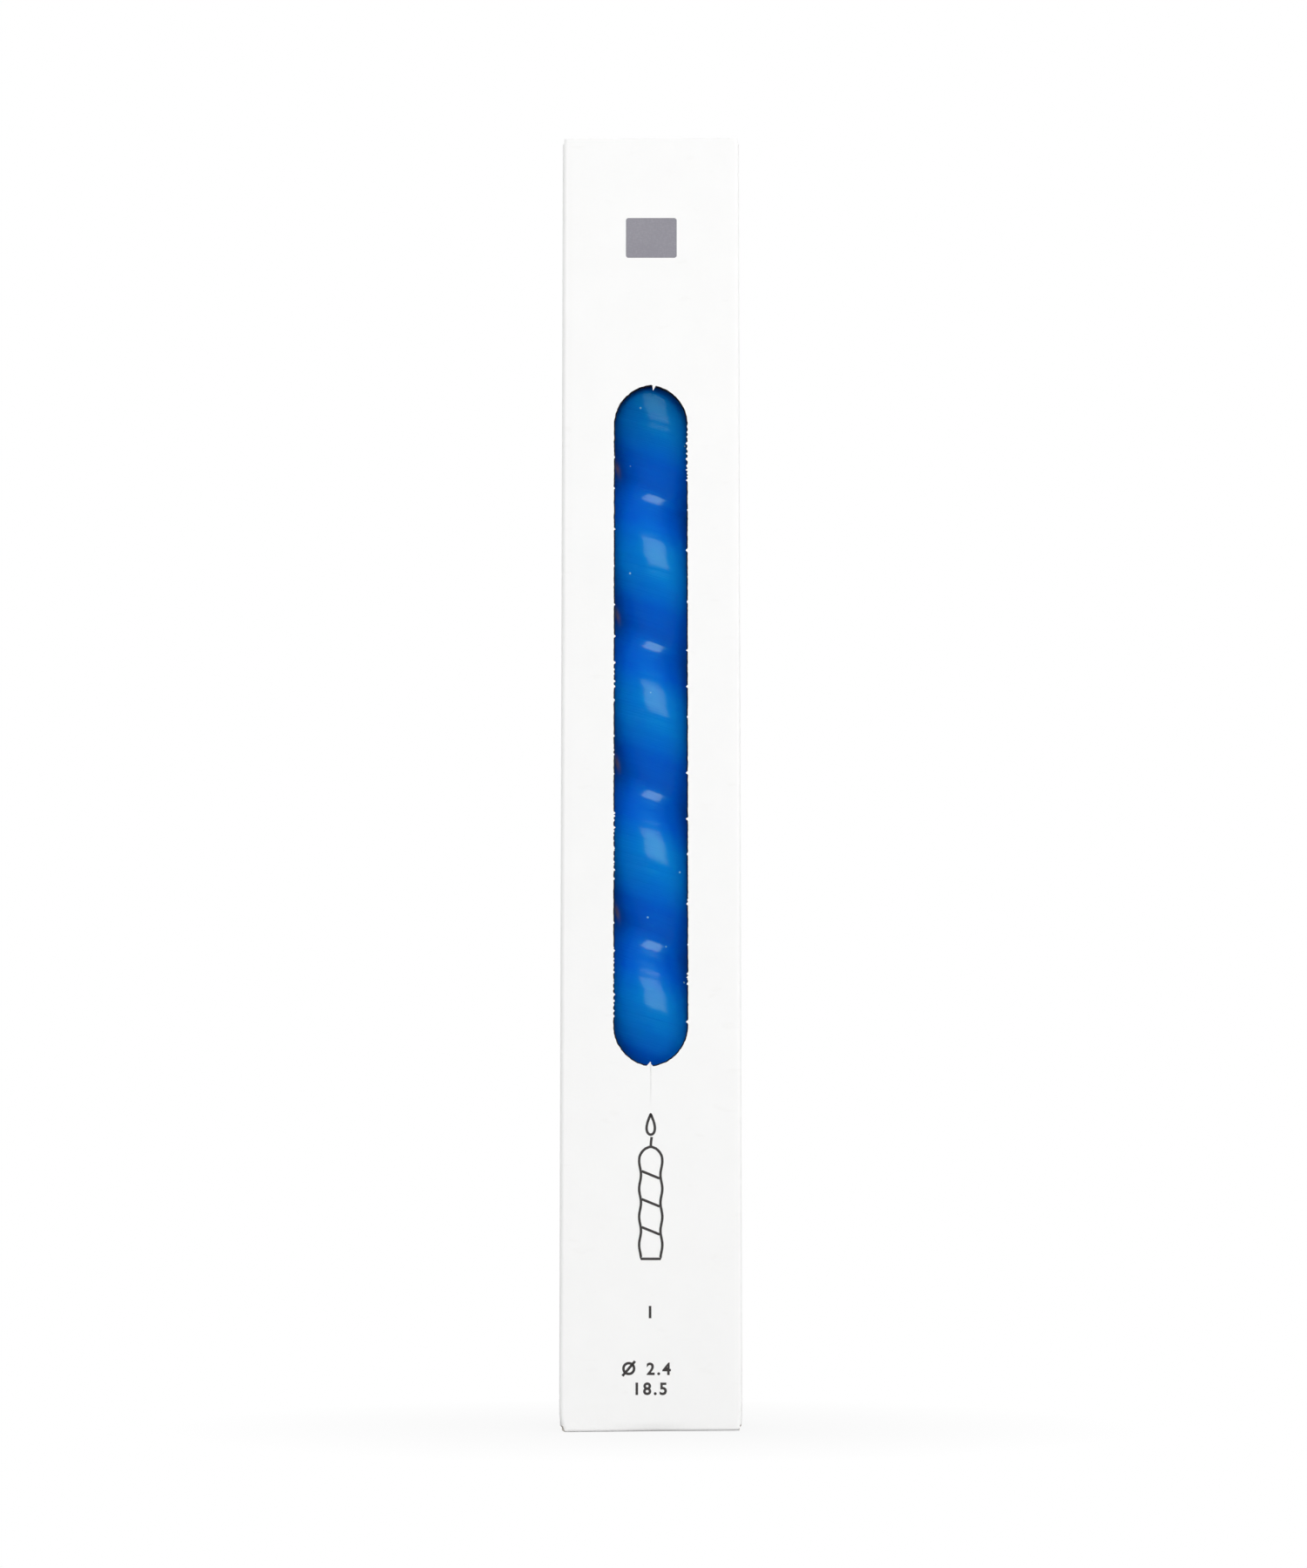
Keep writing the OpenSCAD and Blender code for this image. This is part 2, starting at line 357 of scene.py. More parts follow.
@dataclass(frozen=True)
class BoardFinish:
    """Carton board: a base colour with soft clouds, flecks of another colour and a felted surface."""

    name: str
    colour: Colour
    shade: Colour
    fleck: Colour
    cloud_share: float
    fleck_share: float
    roughness: float
    bump: float
    fibre: float = 2600.0
    cloud: float = 160.0
    fleck_size: float = 700.0
    rough_spread: float = 0.07
    relief: float = 0.00006
    gloss: float = 0.35

    def material(self) -> Material:
        """Lays out the finish with the fibre group.

        Returns:
            The material.
        """
        material, nodes, shader = new_material(self.name)
        felt = FibreGroup.use(nodes, Fibre=self.fibre, Cloud=self.cloud, Fleck=self.fleck_size)
        clouds = nodes.math("MULTIPLY", felt["Tone"], self.cloud_share)
        flecks = nodes.math("MULTIPLY", felt["Flecks"], self.fleck_share)
        smoothest, roughest = self.roughness - self.rough_spread, self.roughness + self.rough_spread
        nodes.fill(shader, {
            "Base Color": nodes.mix(flecks, nodes.mix(clouds, self.colour, self.shade), self.fleck),
            "Roughness": nodes.spread(felt["Height"], 0.3, 0.7, smoothest, roughest),
            "Normal": nodes.bump(felt["Height"], self.bump, self.relief),
            "Specular IOR Level": self.gloss})
        return material


@dataclass(frozen=True)
class WaxFinish:
    """Dyed wax: lighter and greener on the crest as painted light and sheen, deeper in the groove as painted shade,
    with pale crumbs, a painted reflection of the brown board and a soft gloss.

    The sizes are texture scales. The coat is given for the crest and for the groove.
    """

    name: str
    # crest colour is painted light and sheen, groove colour is painted shade in the recess
    crest: Colour
    groove: Colour
    # colour of painted shade towards both ends of the window
    end_shade_colour: Colour
    scuff: Colour
    crumb: Colour
    # colour of a painted reflection of the brown board inside
    dust: Colour
    gloss: Colour
    roughness: float
    scatter: float
    coat: Pair
    pitch: float = SPIRAL_PITCH
    cloud_size: float = 130.0
    bloom_size: float = 900.0
    crumb_size: float = 340.0
    crumb_reach: Pair = (0.035, 0.07)
    crumb_lot: float = 0.45
    grain_size: float = 520.0
    pit_size: float = 420.0
    streak_size: float = 1200.0
    bump: float = 0.28
    relief: float = 0.00012

    def streaks(self, nodes: NodeTree) -> Socket:
        """Fine drawing lines along the twist: noise in a place that is turned back by the twist of its height.

        Args:
            nodes: the wax's tree.

        Returns:
            A height for the bump.
        """
        where = nodes.add("ShaderNodeTexCoord").outputs["Object"]
        height = nodes.add("ShaderNodeSeparateXYZ", {0: where}).outputs["Z"]
        angle = nodes.math("MULTIPLY", height, TURN / (self.pitch * MM))
        straight = nodes.add("ShaderNodeVectorRotate", {"Vector": where, "Angle": angle}, rotation_type="Z_AXIS")
        drawn = nodes.add("ShaderNodeMapping", {"Vector": straight.outputs[0], "Scale": (1.0, 1.0, 0.25)})
        return nodes.noise(drawn.outputs[0], self.streak_size, 3.0)

    def crumbs(self, nodes: NodeTree) -> Socket:
        """Small round crumbs: the middles of cells that are picked by their random colour.

        Args:
            nodes: the wax's tree.

        Returns:
            A mask, 1 on a crumb.
        """
        cells = nodes.cells(nodes.place(), self.crumb_size)
        near = nodes.spread(cells["Distance"], *self.crumb_reach, 1.0, 0.0)
        lot = nodes.add("ShaderNodeSeparateColor", {0: cells["Color"]}).outputs[0]
        return nodes.math("MULTIPLY", near, nodes.math("GREATER_THAN", lot, self.crumb_lot))

    def material(self) -> Material:
        """Lays out the finish; it reads spiral_depth, 0 on the crest and 1 in the groove, the painted reflection
        board_dust and the painted shade painted_end_shade.

        Returns:
            The material.
        """
        material, nodes, shader = new_material(self.name)
        depth, kraft_reflection, end_shade = [nodes.attribute(key) for key in ("spiral_depth", "board_dust", "painted_end_shade")]
        cloud = nodes.noise(nodes.place(), self.cloud_size, 5.0)
        bloom = nodes.noise(nodes.place(), self.bloom_size, 6.0)
        # painted light on the crest and painted shade in the groove, by spiral depth
        body = nodes.mix(nodes.spread(depth, 0.02, 0.42), self.crest, self.groove)
        # groove-coloured clouds and scuffs are random tone; then crumbs, the painted reflection of the brown board and
        # the painted shade at both ends
        for cover, colour in ((nodes.spread(cloud, 0.45, 0.8, 0.0, 0.22), self.groove),
                              (nodes.spread(bloom, 0.62, 0.85, 0.0, 0.35), self.scuff),
                              (self.crumbs(nodes), self.crumb), (kraft_reflection, self.dust), (end_shade, self.end_shade_colour)):
            body = nodes.mix(cover, body, colour)
        grain = nodes.noise(nodes.place((1.0, 1.0, 0.6)), self.grain_size, 4.0)
        rough = nodes.spread(grain, 0.3, 0.75, self.roughness - 0.05, self.roughness + 0.08)
        pits = nodes.spread(nodes.cells(nodes.place(), self.pit_size)["Distance"], 0.0, 0.22)
        relief = nodes.math("ADD", nodes.math("MULTIPLY", grain, 0.5), nodes.math("MULTIPLY", pits, 0.35))
        relief = nodes.math("ADD", relief, self.streaks(nodes))
        coat = nodes.spread(depth, 0.35, 0.85, *self.coat)
        nodes.fill(shader, {
            "Base Color": body,
            # the painted end shade also dulls the coat and roughens the wax there
            "Roughness": nodes.math("ADD", rough, nodes.math("MULTIPLY", end_shade, 0.15), True),
            "Normal": nodes.bump(relief, self.bump, self.relief),
            "Coat Weight": nodes.math("MULTIPLY", coat, nodes.spread(end_shade, 0.0, 0.6, 1.0, 0.4)),
            "Coat Roughness": 0.14, "Coat IOR": 1.42,
            "IOR": 1.44, "Specular IOR Level": 0.62, "Specular Tint": self.gloss,
            "Subsurface Weight": self.scatter, "Subsurface Radius": (0.15, 0.5, 1.0), "Subsurface Scale": 0.003})
        return material


@dataclass(frozen=True)
class CottonFinish:
    """Waxed cotton: pale yarn, with painted shade in the valleys between the strands."""

    name: str
    yarn: Colour
    # colour of painted shade between the strands
    valley: Colour
    fibre: float = 5200.0
    cloud: float = 900.0
    bump: float = 0.5
    relief: float = 0.0001

    def material(self) -> Material:
        """Lays out the finish with the fibre group; it reads strand_depth, 1 between two strands.

        Returns:
            The material.
        """
        material, nodes, shader = new_material(self.name)
        felt = FibreGroup.use(nodes, Fibre=self.fibre, Cloud=self.cloud)
        # painted shade, deepest between two strands
        valleys = nodes.math("MULTIPLY", nodes.attribute("strand_depth"), 0.75)
        share = nodes.math("ADD", valleys, nodes.math("MULTIPLY", felt["Tone"], 0.2), True)
        nodes.fill(shader, {
            "Base Color": nodes.mix(share, self.yarn, self.valley),
            "Roughness": nodes.spread(felt["Height"], 0.3, 0.7, 0.62, 0.88),
            "Normal": nodes.bump(felt["Height"], self.bump, self.relief)})
        return material


@dataclass(frozen=True)
class InkFinish:
    """Printing ink: a flat tone broken by the board's fibres."""

    name: str
    colour: Colour
    worn: Colour
    fibre: float = 6000.0

    def material(self) -> Material:
        """Lays out the finish with the fibre group.

        Returns:
            The material.
        """
        material, nodes, shader = new_material(self.name)
        felt = FibreGroup.use(nodes, Fibre=self.fibre)
        nodes.fill(shader, {
            "Base Color": nodes.mix(nodes.spread(felt["Height"], 0.45, 0.75, 0.0, 0.5), self.colour, self.worn),
            "Roughness": nodes.spread(felt["Tone"], 0.0, 1.0, 0.5, 0.62)})
        return material


class Finishes:
    """Every material of the object, built once."""

    def __init__(self) -> None:
        """Builds the board, glue, wax, cotton and ink materials."""
        self.white = BoardFinish(
            "white_board_face", (0.905, 0.905, 0.9), (0.87, 0.87, 0.865), (0.78, 0.77, 0.75),
            cloud_share=0.35, fleck_share=0.12, roughness=0.52, bump=0.22).material()
        self.kraft = BoardFinish(
            "brown_board_back", (0.36, 0.225, 0.125), (0.29, 0.175, 0.095), (0.16, 0.09, 0.05),
            cloud_share=0.7, fleck_share=0.5, roughness=0.78, bump=0.5,
            fibre=2000.0, cloud=220.0, fleck_size=900.0).material()
        # the window's cut is painted near-black as the shadow line round the window
        self.window_shadow_cut = BoardFinish(
            "painted_shadow_window_edge", (0.01, 0.011, 0.018), (0.006, 0.007, 0.013), (0.05, 0.045, 0.045),
            cloud_share=0.8, fleck_share=0.35, roughness=0.85, bump=0.6,
            fibre=5200.0, cloud=700.0, fleck_size=2600.0).material()
        self.cut = BoardFinish(
            "board_raw_edge", (0.74, 0.71, 0.66), (0.6, 0.54, 0.46), (0.42, 0.33, 0.24),
            cloud_share=0.6, fleck_share=0.3, roughness=0.8, bump=0.5,
            fibre=5200.0, cloud=900.0, fleck_size=2600.0).material()
        self.glue = BoardFinish(
            "dried_glue", (0.62, 0.56, 0.42), (0.52, 0.45, 0.3), (0.75, 0.72, 0.62),
            cloud_share=0.6, fleck_share=0.3, roughness=0.42, bump=0.3,
            fibre=1500.0, cloud=300.0, fleck_size=500.0).material()
        # painted light on the crest, painted shade in the groove and towards both ends, and a painted reflection of
        # the brown board inside
        self.wax = WaxFinish(
            "blue_dyed_wax", crest=(0.0002, 0.164, 0.61), groove=(0.0002, 0.109, 0.65), end_shade_colour=(0.0006, 0.035, 0.2),
            scuff=(0.002, 0.165, 0.68), crumb=(0.3, 0.6, 0.8), dust=(0.36, 0.26, 0.18), gloss=(0.0, 1.0, 0.32),
            roughness=0.37, scatter=0.6, coat=(0.41, 0.78)).material()
        self.cotton = CottonFinish("waxed_cotton", (0.8, 0.76, 0.66), (0.42, 0.36, 0.27)).material()
        self.grey_ink = InkFinish("grey_ink", (0.25, 0.243, 0.28), (0.34, 0.335, 0.365)).material()
        self.dark_ink = InkFinish("dark_ink", (0.036, 0.031, 0.031), (0.1, 0.092, 0.09)).material()

    @property
    def board(self) -> list[Material]:
        """Board materials in the order of Side."""
        return [self.white, self.kraft, self.cut]

    @property
    def window_board(self) -> list[Material]:
        """Board materials in the order of Side, with the window's cut painted near-black as a shadow line, then the
        outer cut.
        """
        return [self.white, self.kraft, self.window_shadow_cut, self.cut]


# Carton


@dataclass(frozen=True)
class CartonSizes:
    """Sizes of the folded carton, in millimetres, as in the frame."""

    width: float = 27.5
    depth: float = 27.5
    height: float = 199.4
    board: float = 0.4
    fold_r: float = 0.7
    crease: float = 0.45
    dust_seat: float = 0.9
    seam_x: float = -13.29
    flap_free: float = 4.75
    flap_low: float = 3.9
    flap_taper: float = 2.5
    left_rear: float = 13.7
    bulge: float = 0.12
    slant: float = 0.15
    slant_from: float = 160.0
    slant_over: float = 39.0

    @property
    def half_w(self) -> float:
        """Half of the outside width."""
        return self.width / 2

    @property
    def half_d(self) -> float:
        """Half of the outside depth."""
        return self.depth / 2

    @property
    def flat(self) -> float:
        """Distance from a panel's middle to the start of its vertical fold."""
        return self.half_w - self.fold_r

    @property
    def arc(self) -> float:
        """Length of the half fold at a panel's edge."""
        return self.fold_r * math.pi / 4


SIZES = CartonSizes()


@dataclass(frozen=True)
class FootWear:
    """Handling marks at the front of the carton's foot, in millimetres.

    The lower corners are pressed in, the foot is skew, and its middle is rolled under.
    """

    corner_high: float = 2.8
    corner_from: float = 9.0
    corner_deep: float = 4.5
    corner_wide: float = 4.75
    corner_curve: float = 1.4
    left_reach: float = 0.68
    right_reach: float = 0.22
    roll: float = 0.33
    roll_high: float = 1.4
    roll_middle: float = 0.5
    roll_wide: float = 5.0
    roll_curve: float = 1.5
    skew: float = 0.25
    skew_high: float = 3.5

    def settle(self, points: Array) -> Array:
        """Moves the points near the foot.

        A corner moves towards the middle by its reach, fading over height, width and depth. The roll
        moves inwards as a bell over the width, fading over height. The skew lifts towards the right.

        Args:
            points: points in millimetres, with x, y, z last.

        Returns:
            The moved points.
        """
        x, y, z = points[..., 0], points[..., 1], points[..., 2]
        low = np.clip((self.corner_high - z) / self.corner_high, 0.0, 1.0) ** self.corner_curve
        near = np.clip((-y - self.corner_from) / self.corner_deep, 0.0, 1.0)
        edge = np.clip((np.abs(x) - self.corner_from) / self.corner_wide, 0.0, 1.0) ** 2
        reach = np.where(x < 0, self.left_reach, self.right_reach)
        under = np.clip(1.0 - z / self.roll_high, 0.0, 1.0) ** self.roll_curve
        bell = np.exp(-((x - self.roll_middle) / self.roll_wide) ** 2)
        lift = np.clip(0.5 + x / SIZES.width, 0.0, 1.0) * smooth((self.skew_high - z) / self.skew_high)
        return np.stack([x - np.sign(x) * reach * low * near * edge, y + self.roll * under * bell * near,
                         z + self.skew * lift * near], axis=-1)


FOOT_WEAR = FootWear()


@dataclass(frozen=True)
class Wrap:
    """A panel's section: straight from low to high, with a fold of radius r past either end."""

    low: float
    high: float
    r: float

    def __call__(self, u: Array) -> tuple[Array, Array, Array, Array]:
        """Bends distances along the outside round the folds.

        Past an end the section follows a circle: along grows by r sin a and depth by r (1 - cos a),
        where a is the overrun divided by r.

        Args:
            u: distance along the outside, from the panel's middle line.

        Returns:
            Position along the panel, depth behind its face, and the normal's parts along and out.
        """
        past = np.maximum(u - self.high, 0.0) / self.r
        before = np.maximum(self.low - u, 0.0) / self.r
        along = np.clip(u, self.low, self.high) + self.r * (np.sin(past) - np.sin(before))
        depth = self.r * (2.0 - np.cos(past) - np.cos(before))
        return along, depth, np.sin(past) - np.sin(before), np.cos(past) * np.cos(before)


@dataclass(frozen=True)
class Window:
    """The round-ended window: straight sides between two slightly pointed arches, with a nick at each tip.

    A nick is its middle, half width and length; a frayed stretch is its side, its two heights and the
    distance between its tufts. Tufts are drawn between a least and a most half width and reach, and only
    further from the middle than a share of the width.
    """

    width: float = 11.4
    sill: float = 54.7
    height: float = 105.4
    point: float = 0.6
    upper_nick: tuple[float, float, float] = (0.5, 0.27, 0.9)
    lower_nick: tuple[float, float, float] = (-0.15, 0.5, 0.8)
    burr: float = 0.2
    seed: int = 11
    waver: float = 0.02
    waver_step: float = 0.35
    tuft_scatter: float = 0.3
    tuft_half: Pair = (0.14, 0.3)
    tuft_reach: Pair = (0.12, 0.4)
    tuft_from: float = 0.4
    frayed: tuple[tuple[Hand, float, float, float], ...] = (
        (Hand.RIGHT, 145.0, 153.5, 0.85), (Hand.RIGHT, 79.6, 80.4, 0.5), (Hand.RIGHT, 67.9, 69.2, 0.5),
        (Hand.LEFT, 112.9, 117.4, 0.9), (Hand.LEFT, 102.5, 103.4, 0.5), (Hand.LEFT, 84.6, 93.6, 0.75),
        (Hand.LEFT, 62.5, 72.9, 0.8), (Hand.LEFT, 61.0, 153.0, 5.5), (Hand.RIGHT, 61.0, 153.0, 6.5))

    @property
    def rise(self) -> float:
        """Height of an arched end."""
        return self.width / 2 + self.point

    @property
    def low(self) -> float:
        """Height where the straight sides begin."""
        return self.sill + self.rise

    @property
    def high(self) -> float:
        """Height where the straight sides end."""
        return self.sill + self.height - self.rise

    def arch(self, share: Array) -> Array:
        """Points of the right half of the upper arch, from its side (0) to its tip (1).

        The half is an arc about a centre that lies past the middle line, so that two halves meet in a
        slight point.

        Args:
            share: share of the arc.

        Returns:
            Points as x and height above the start of the arch.
        """
        radius = ((self.width / 2) ** 2 + self.rise ** 2) / self.width
        shift = radius - self.width / 2
        angle = share * math.acos(shift / radius)
        return np.stack([radius * np.cos(angle) - shift, radius * np.sin(angle)], axis=-1)

    def ragged(self, cut: Array) -> tuple[Array, Array]:
        """Ragged die-cut edge: a fine waver, tufts of white paper along the frayed stretches, and the nicks.

        Args:
            cut: the outline as x and z.

        Returns:
            Shift of the whole edge, and of the tufts and nicks, both towards the middle of the window.
        """
        rng = np.random.default_rng(self.seed)
        length = np.concatenate([[0.0], np.cumsum(np.linalg.norm(np.diff(cut, axis=0), axis=1))])
        knots = np.arange(0.0, float(length[-1]) + 1.0, self.waver_step)
        waver = np.interp(length, knots, rng.normal(0.0, self.waver, len(knots)))
        tufts = np.zeros(len(cut))
        for hand, low, high, step in self.frayed:
            middles = np.arange(low, high, step)
            middles = middles + rng.uniform(-self.tuft_scatter, self.tuft_scatter, len(middles)) * step
            half = rng.uniform(*self.tuft_half, len(middles))
            reach = rng.uniform(*self.tuft_reach, len(middles))
            tents = reach * tent(cut[:, 1:] - middles, half)
            tufts = np.maximum(tufts, tents.max(axis=1) * (cut[:, 0] * hand.value > self.width * self.tuft_from))
        for (middle, half, reach), level in ((self.upper_nick, cut[:, 1] > self.high),
                                             (self.lower_nick, cut[:, 1] < self.low)):
            tufts = tufts + reach * tent(cut[:, 0] - middle, half) * level
        return waver, tufts


@dataclass
class Carton:
    """The sleeve: four panels and the glue flap, each a sheet of board with its half folds.

    The numbers of points and steps set how fine the grids are, and the curves how they crowd. rim_share is
    the share of a panel's height in which the levels lie closer together, at either end.
    """

    finishes: Finishes
    sizes: CartonSizes = SIZES
    window: Window = Window()
    fold_points: int = 7
    panel_points: int = 29
    level_points: int = 70
    rim_points: int = 8
    rim_share: float = 0.02
    side_steps: int = 640
    arch_steps: int = 60
    arch_share: float = 0.55
    arch_curve: float = 1.3
    ring_points: int = 11
    ring_curve: float = 2.2
    frame_margin: float = 3.0

    def swell(self, along: Array, z: Array) -> Array:
        """Slight outward swell of a panel: a cosine across it times a sine along it."""
        across = np.cos(np.clip(along / self.sizes.half_w, -1.0, 1.0) * math.pi / 2)
        return self.sizes.bulge * across * np.sin(np.clip(z / self.sizes.height, 0.0, 1.0) * math.pi)

    def dress(self, name: str, solid: Solid, materials: list[Material]) -> None:
        """Makes the piece, puts it in place of its node and on the carton.

        Args:
            name: node that the piece stands for.
            solid: its mesh.
            materials: materials in the order of Side.
        """
        solid.points = FOOT_WEAR.settle(solid.points)
        piece = new_piece(f"{name}_sheet", solid, materials)
        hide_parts(name)
        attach(piece, "carton")
        LOG.info("%s: %d faces", piece.name, len(solid.faces))

    def flat_panel(self, wrap: Wrap, ends: Pair, z_ends: Callable[[Array], tuple[Array, Array]],
                   place: Callable[[Array, Array, Array], Array], swell: bool = True) -> Solid:
        """A panel as a grid of columns round its section and rows up its height.

        Args:
            wrap: the panel's section.
            ends: first and last distance along the section.
            z_ends: lowest and highest height for each distance.
            place: turns along, out and z into points; out is the distance outwards from the face.
            swell: whether the panel swells outwards.

        Returns:
            The panel's solid.
        """
        bend = np.linspace(0.0, 1.0, self.fold_points)
        before = wrap.low + (ends[0] - wrap.low) * bend[:0:-1]
        after = wrap.high + (ends[1] - wrap.high) * bend[1:]
        inner = np.linspace(wrap.low, wrap.high, self.panel_points)
        u = np.concatenate([before[before < wrap.low], inner, after[after > wrap.high]])
        low, high = z_ends(u)
        rim = np.linspace(0.0, self.rim_share, self.rim_points)[:-1]
        levels = np.linspace(self.rim_share, 1.0 - self.rim_share, self.level_points)
        share = np.concatenate([rim, levels, 1.0 - rim[::-1]])
        z = low[None] + (high - low)[None] * share[:, None]
        along, depth, side, out = wrap(np.broadcast_to(u[None], z.shape))
        bulge = self.swell(along, z) if swell else 0.0
        zero = np.zeros_like(z)
        normals = place(side, out, zero) - place(zero, zero, zero)
        return board_shell(place(along, bulge - depth, z), normals, self.sizes.board)

    def back(self) -> None:
        """The back panel, with a half fold at each side and a raw lower edge."""
        s = self.sizes
        wrap = Wrap(s.seam_x + s.fold_r, s.flat, s.fold_r)
        solid = self.flat_panel(wrap, (wrap.low - s.arc, wrap.high + s.arc),
                                lambda u: (np.zeros_like(u), np.full_like(u, s.height - s.crease)),
                                lambda along, out, z: np.stack([along, s.half_d + out, z], axis=-1))
        self.dress("back_panel", solid, self.finishes.board)

    def side(self, hand: Hand) -> None:
        """A side panel; the left one ends in a raw edge over the glue flap.

        Args:
            hand: which side.
        """
        s = self.sizes
        rear = s.left_rear if hand is Hand.LEFT else s.flat
        wrap = Wrap(-s.flat, rear, s.fold_r)
        last = rear if hand is Hand.LEFT else rear + s.arc
        solid = self.flat_panel(wrap, (wrap.low - s.arc, last),
                                lambda u: (np.full_like(u, s.dust_seat), np.full_like(u, s.height - s.dust_seat)),
                                lambda along, out, z: np.stack([hand.value * (s.half_w + out), along, z], axis=-1))
        self.dress(f"{hand.name.lower()}_side_panel", solid, self.finishes.board)

    def glue_flap(self) -> None:
        """The glue flap, tapered at both ends, inside the left side panel."""
        s = self.sizes
        wrap = Wrap(s.flap_free, s.flat, s.fold_r)

        def z_ends(u: Array) -> tuple[Array, Array]:
            """Heights of the tapered ends at each distance along the flap."""
            taper = s.flap_taper * np.clip((s.flat - u) / (s.flat - s.flap_free), 0.0, 1.0)
            return s.flap_low + taper, s.height - s.flap_low - taper

        solid = self.flat_panel(wrap, (wrap.low, wrap.high + s.arc), z_ends,
                                lambda along, out, z: np.stack([s.seam_x - out, along, z], axis=-1), swell=False)
        self.dress("glue_flap", solid, self.finishes.board)

    def arch_quarter(self, start: float, sign: float, edge: float) -> tuple[Array, Array, Array]:
        """The right quarter of one end of the front panel, from the side of the arch to its tip.

        The first part of the arch, its arch_share, matches the rest of the panel's side; the part near
        the tip, closer together towards it, matches the panel's top or bottom edge.

        Args:
            start: height where the arch begins.
            sign: 1 for the upper end, -1 for the lower.
            edge: height of the panel's edge.

        Returns:
            Window edge, rectangle inside the folds, and outline, each as u and z.
        """
        s, n = self.sizes, self.arch_steps
        t = np.linspace(0.0, 1.0, n + 1)
        tip = 1.0 - (1.0 - self.arch_share) * (1.0 - t) ** self.arch_curve
        share = np.concatenate([self.arch_share * t[:-1], tip])
        cut = self.window.arch(share) * np.array([1.0, sign]) + np.array([0.0, start])
        frames = [
            np.concatenate([np.stack([np.full(n, half), start + (end - start) * t[:-1]], axis=-1),
                            np.stack([half * (1.0 - t), np.full(n + 1, end)], axis=-1)])
            for half, end in ((s.flat, edge - sign * self.frame_margin), (s.flat + s.arc, edge))]
        return cut, *frames

    def window_loops(self) -> tuple[Array, Array, Array, Array]:
        """Matching loops round the front panel: window edge, a rectangle inside the folds, and the outline.

        The loop runs up the right side, over the top, down the left side and along the bottom. Straight
        window sides match the panel's sides level for level.

        Returns:
            The three loops as u and z, and the window's inward unit directions.
        """
        s, w = self.sizes, self.window
        rising = np.linspace(w.low, w.high, self.side_steps + 1)
        top, foot = self.arch_quarter(w.high, 1.0, s.height), self.arch_quarter(w.low, -1.0, s.crease)
        loops = []
        for x, over, under in zip((w.width / 2, s.flat, s.flat + s.arc), top, foot):
            right = np.stack([np.full(self.side_steps, x), rising[:-1]], axis=-1)
            left = (right + np.array([0.0, rising[1] - rising[0]]))[::-1] * MIRROR
            loops.append(np.concatenate([right, over[:-1], over[:0:-1] * MIRROR, left,
                                         under[:-1] * MIRROR, under[:0:-1]]))
        heading = np.roll(loops[0], -1, axis=0) - np.roll(loops[0], 1, axis=0)
        inward = np.stack([-heading[:, 1], heading[:, 0]], axis=-1)
        inward /= np.linalg.norm(inward, axis=1, keepdims=True)
        return *loops, inward

    def front(self) -> None:
        """The front panel: rings from the ragged window edge out to the folds, with a burred cut painted near-black as
        a shadow line.

        Rows of the grid run from the window to the panel's outline: first spread towards the rectangle
        inside the folds, closer together at the window, then evenly round the folds. The top edge slants.
        """
        s, w = self.sizes, self.window
        cut, frame_in, frame_out, inward = self.window_loops()
        waver, tufts = w.ragged(cut)
        cut = cut + inward * (waver + tufts)[:, None]
        share = np.linspace(0.0, 1.0, self.ring_points)[:, None, None]
        sheet = np.concatenate([cut[None] + (frame_in - cut)[None] * share ** self.ring_curve,
                                frame_in[None] + (frame_out - frame_in)[None] * share[1:]])
        u, z = sheet[..., 0], sheet[..., 1]
        along, depth, side, out = Wrap(-s.flat, s.flat, s.fold_r)(u)
        z = z - s.slant * (0.5 - along / s.width) * smooth((z - s.slant_from) / s.slant_over)
        points = np.stack([along, -s.half_d + depth - self.swell(along, z), z], axis=-1)
        normals = np.stack([side, -out, np.zeros_like(z)], axis=-1)
        lip = np.zeros_like(points)
        # the burr shows the window's cut, painted near-black as a shadow line
        lip[0][:, [0, 2]] = inward * (w.burr - tufts)[:, None]
        shell = board_shell(points, normals, s.board, True, lip)
        shell.slots[-points.shape[1]:] = len(Side)
        self.dress("front_panel", shell, self.finishes.window_board)

    def build(self) -> None:
        """Builds the sleeve and dresses the glue line that stays from the frame."""
        self.front()
        self.back()
        self.side(Hand.LEFT)
        self.side(Hand.RIGHT)
        self.glue_flap()
        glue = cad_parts["seam_glue"]
        glue.data.materials.clear()
        glue.data.materials.append(self.finishes.glue)
        LOG.info("seam_glue: dressed")


# Print


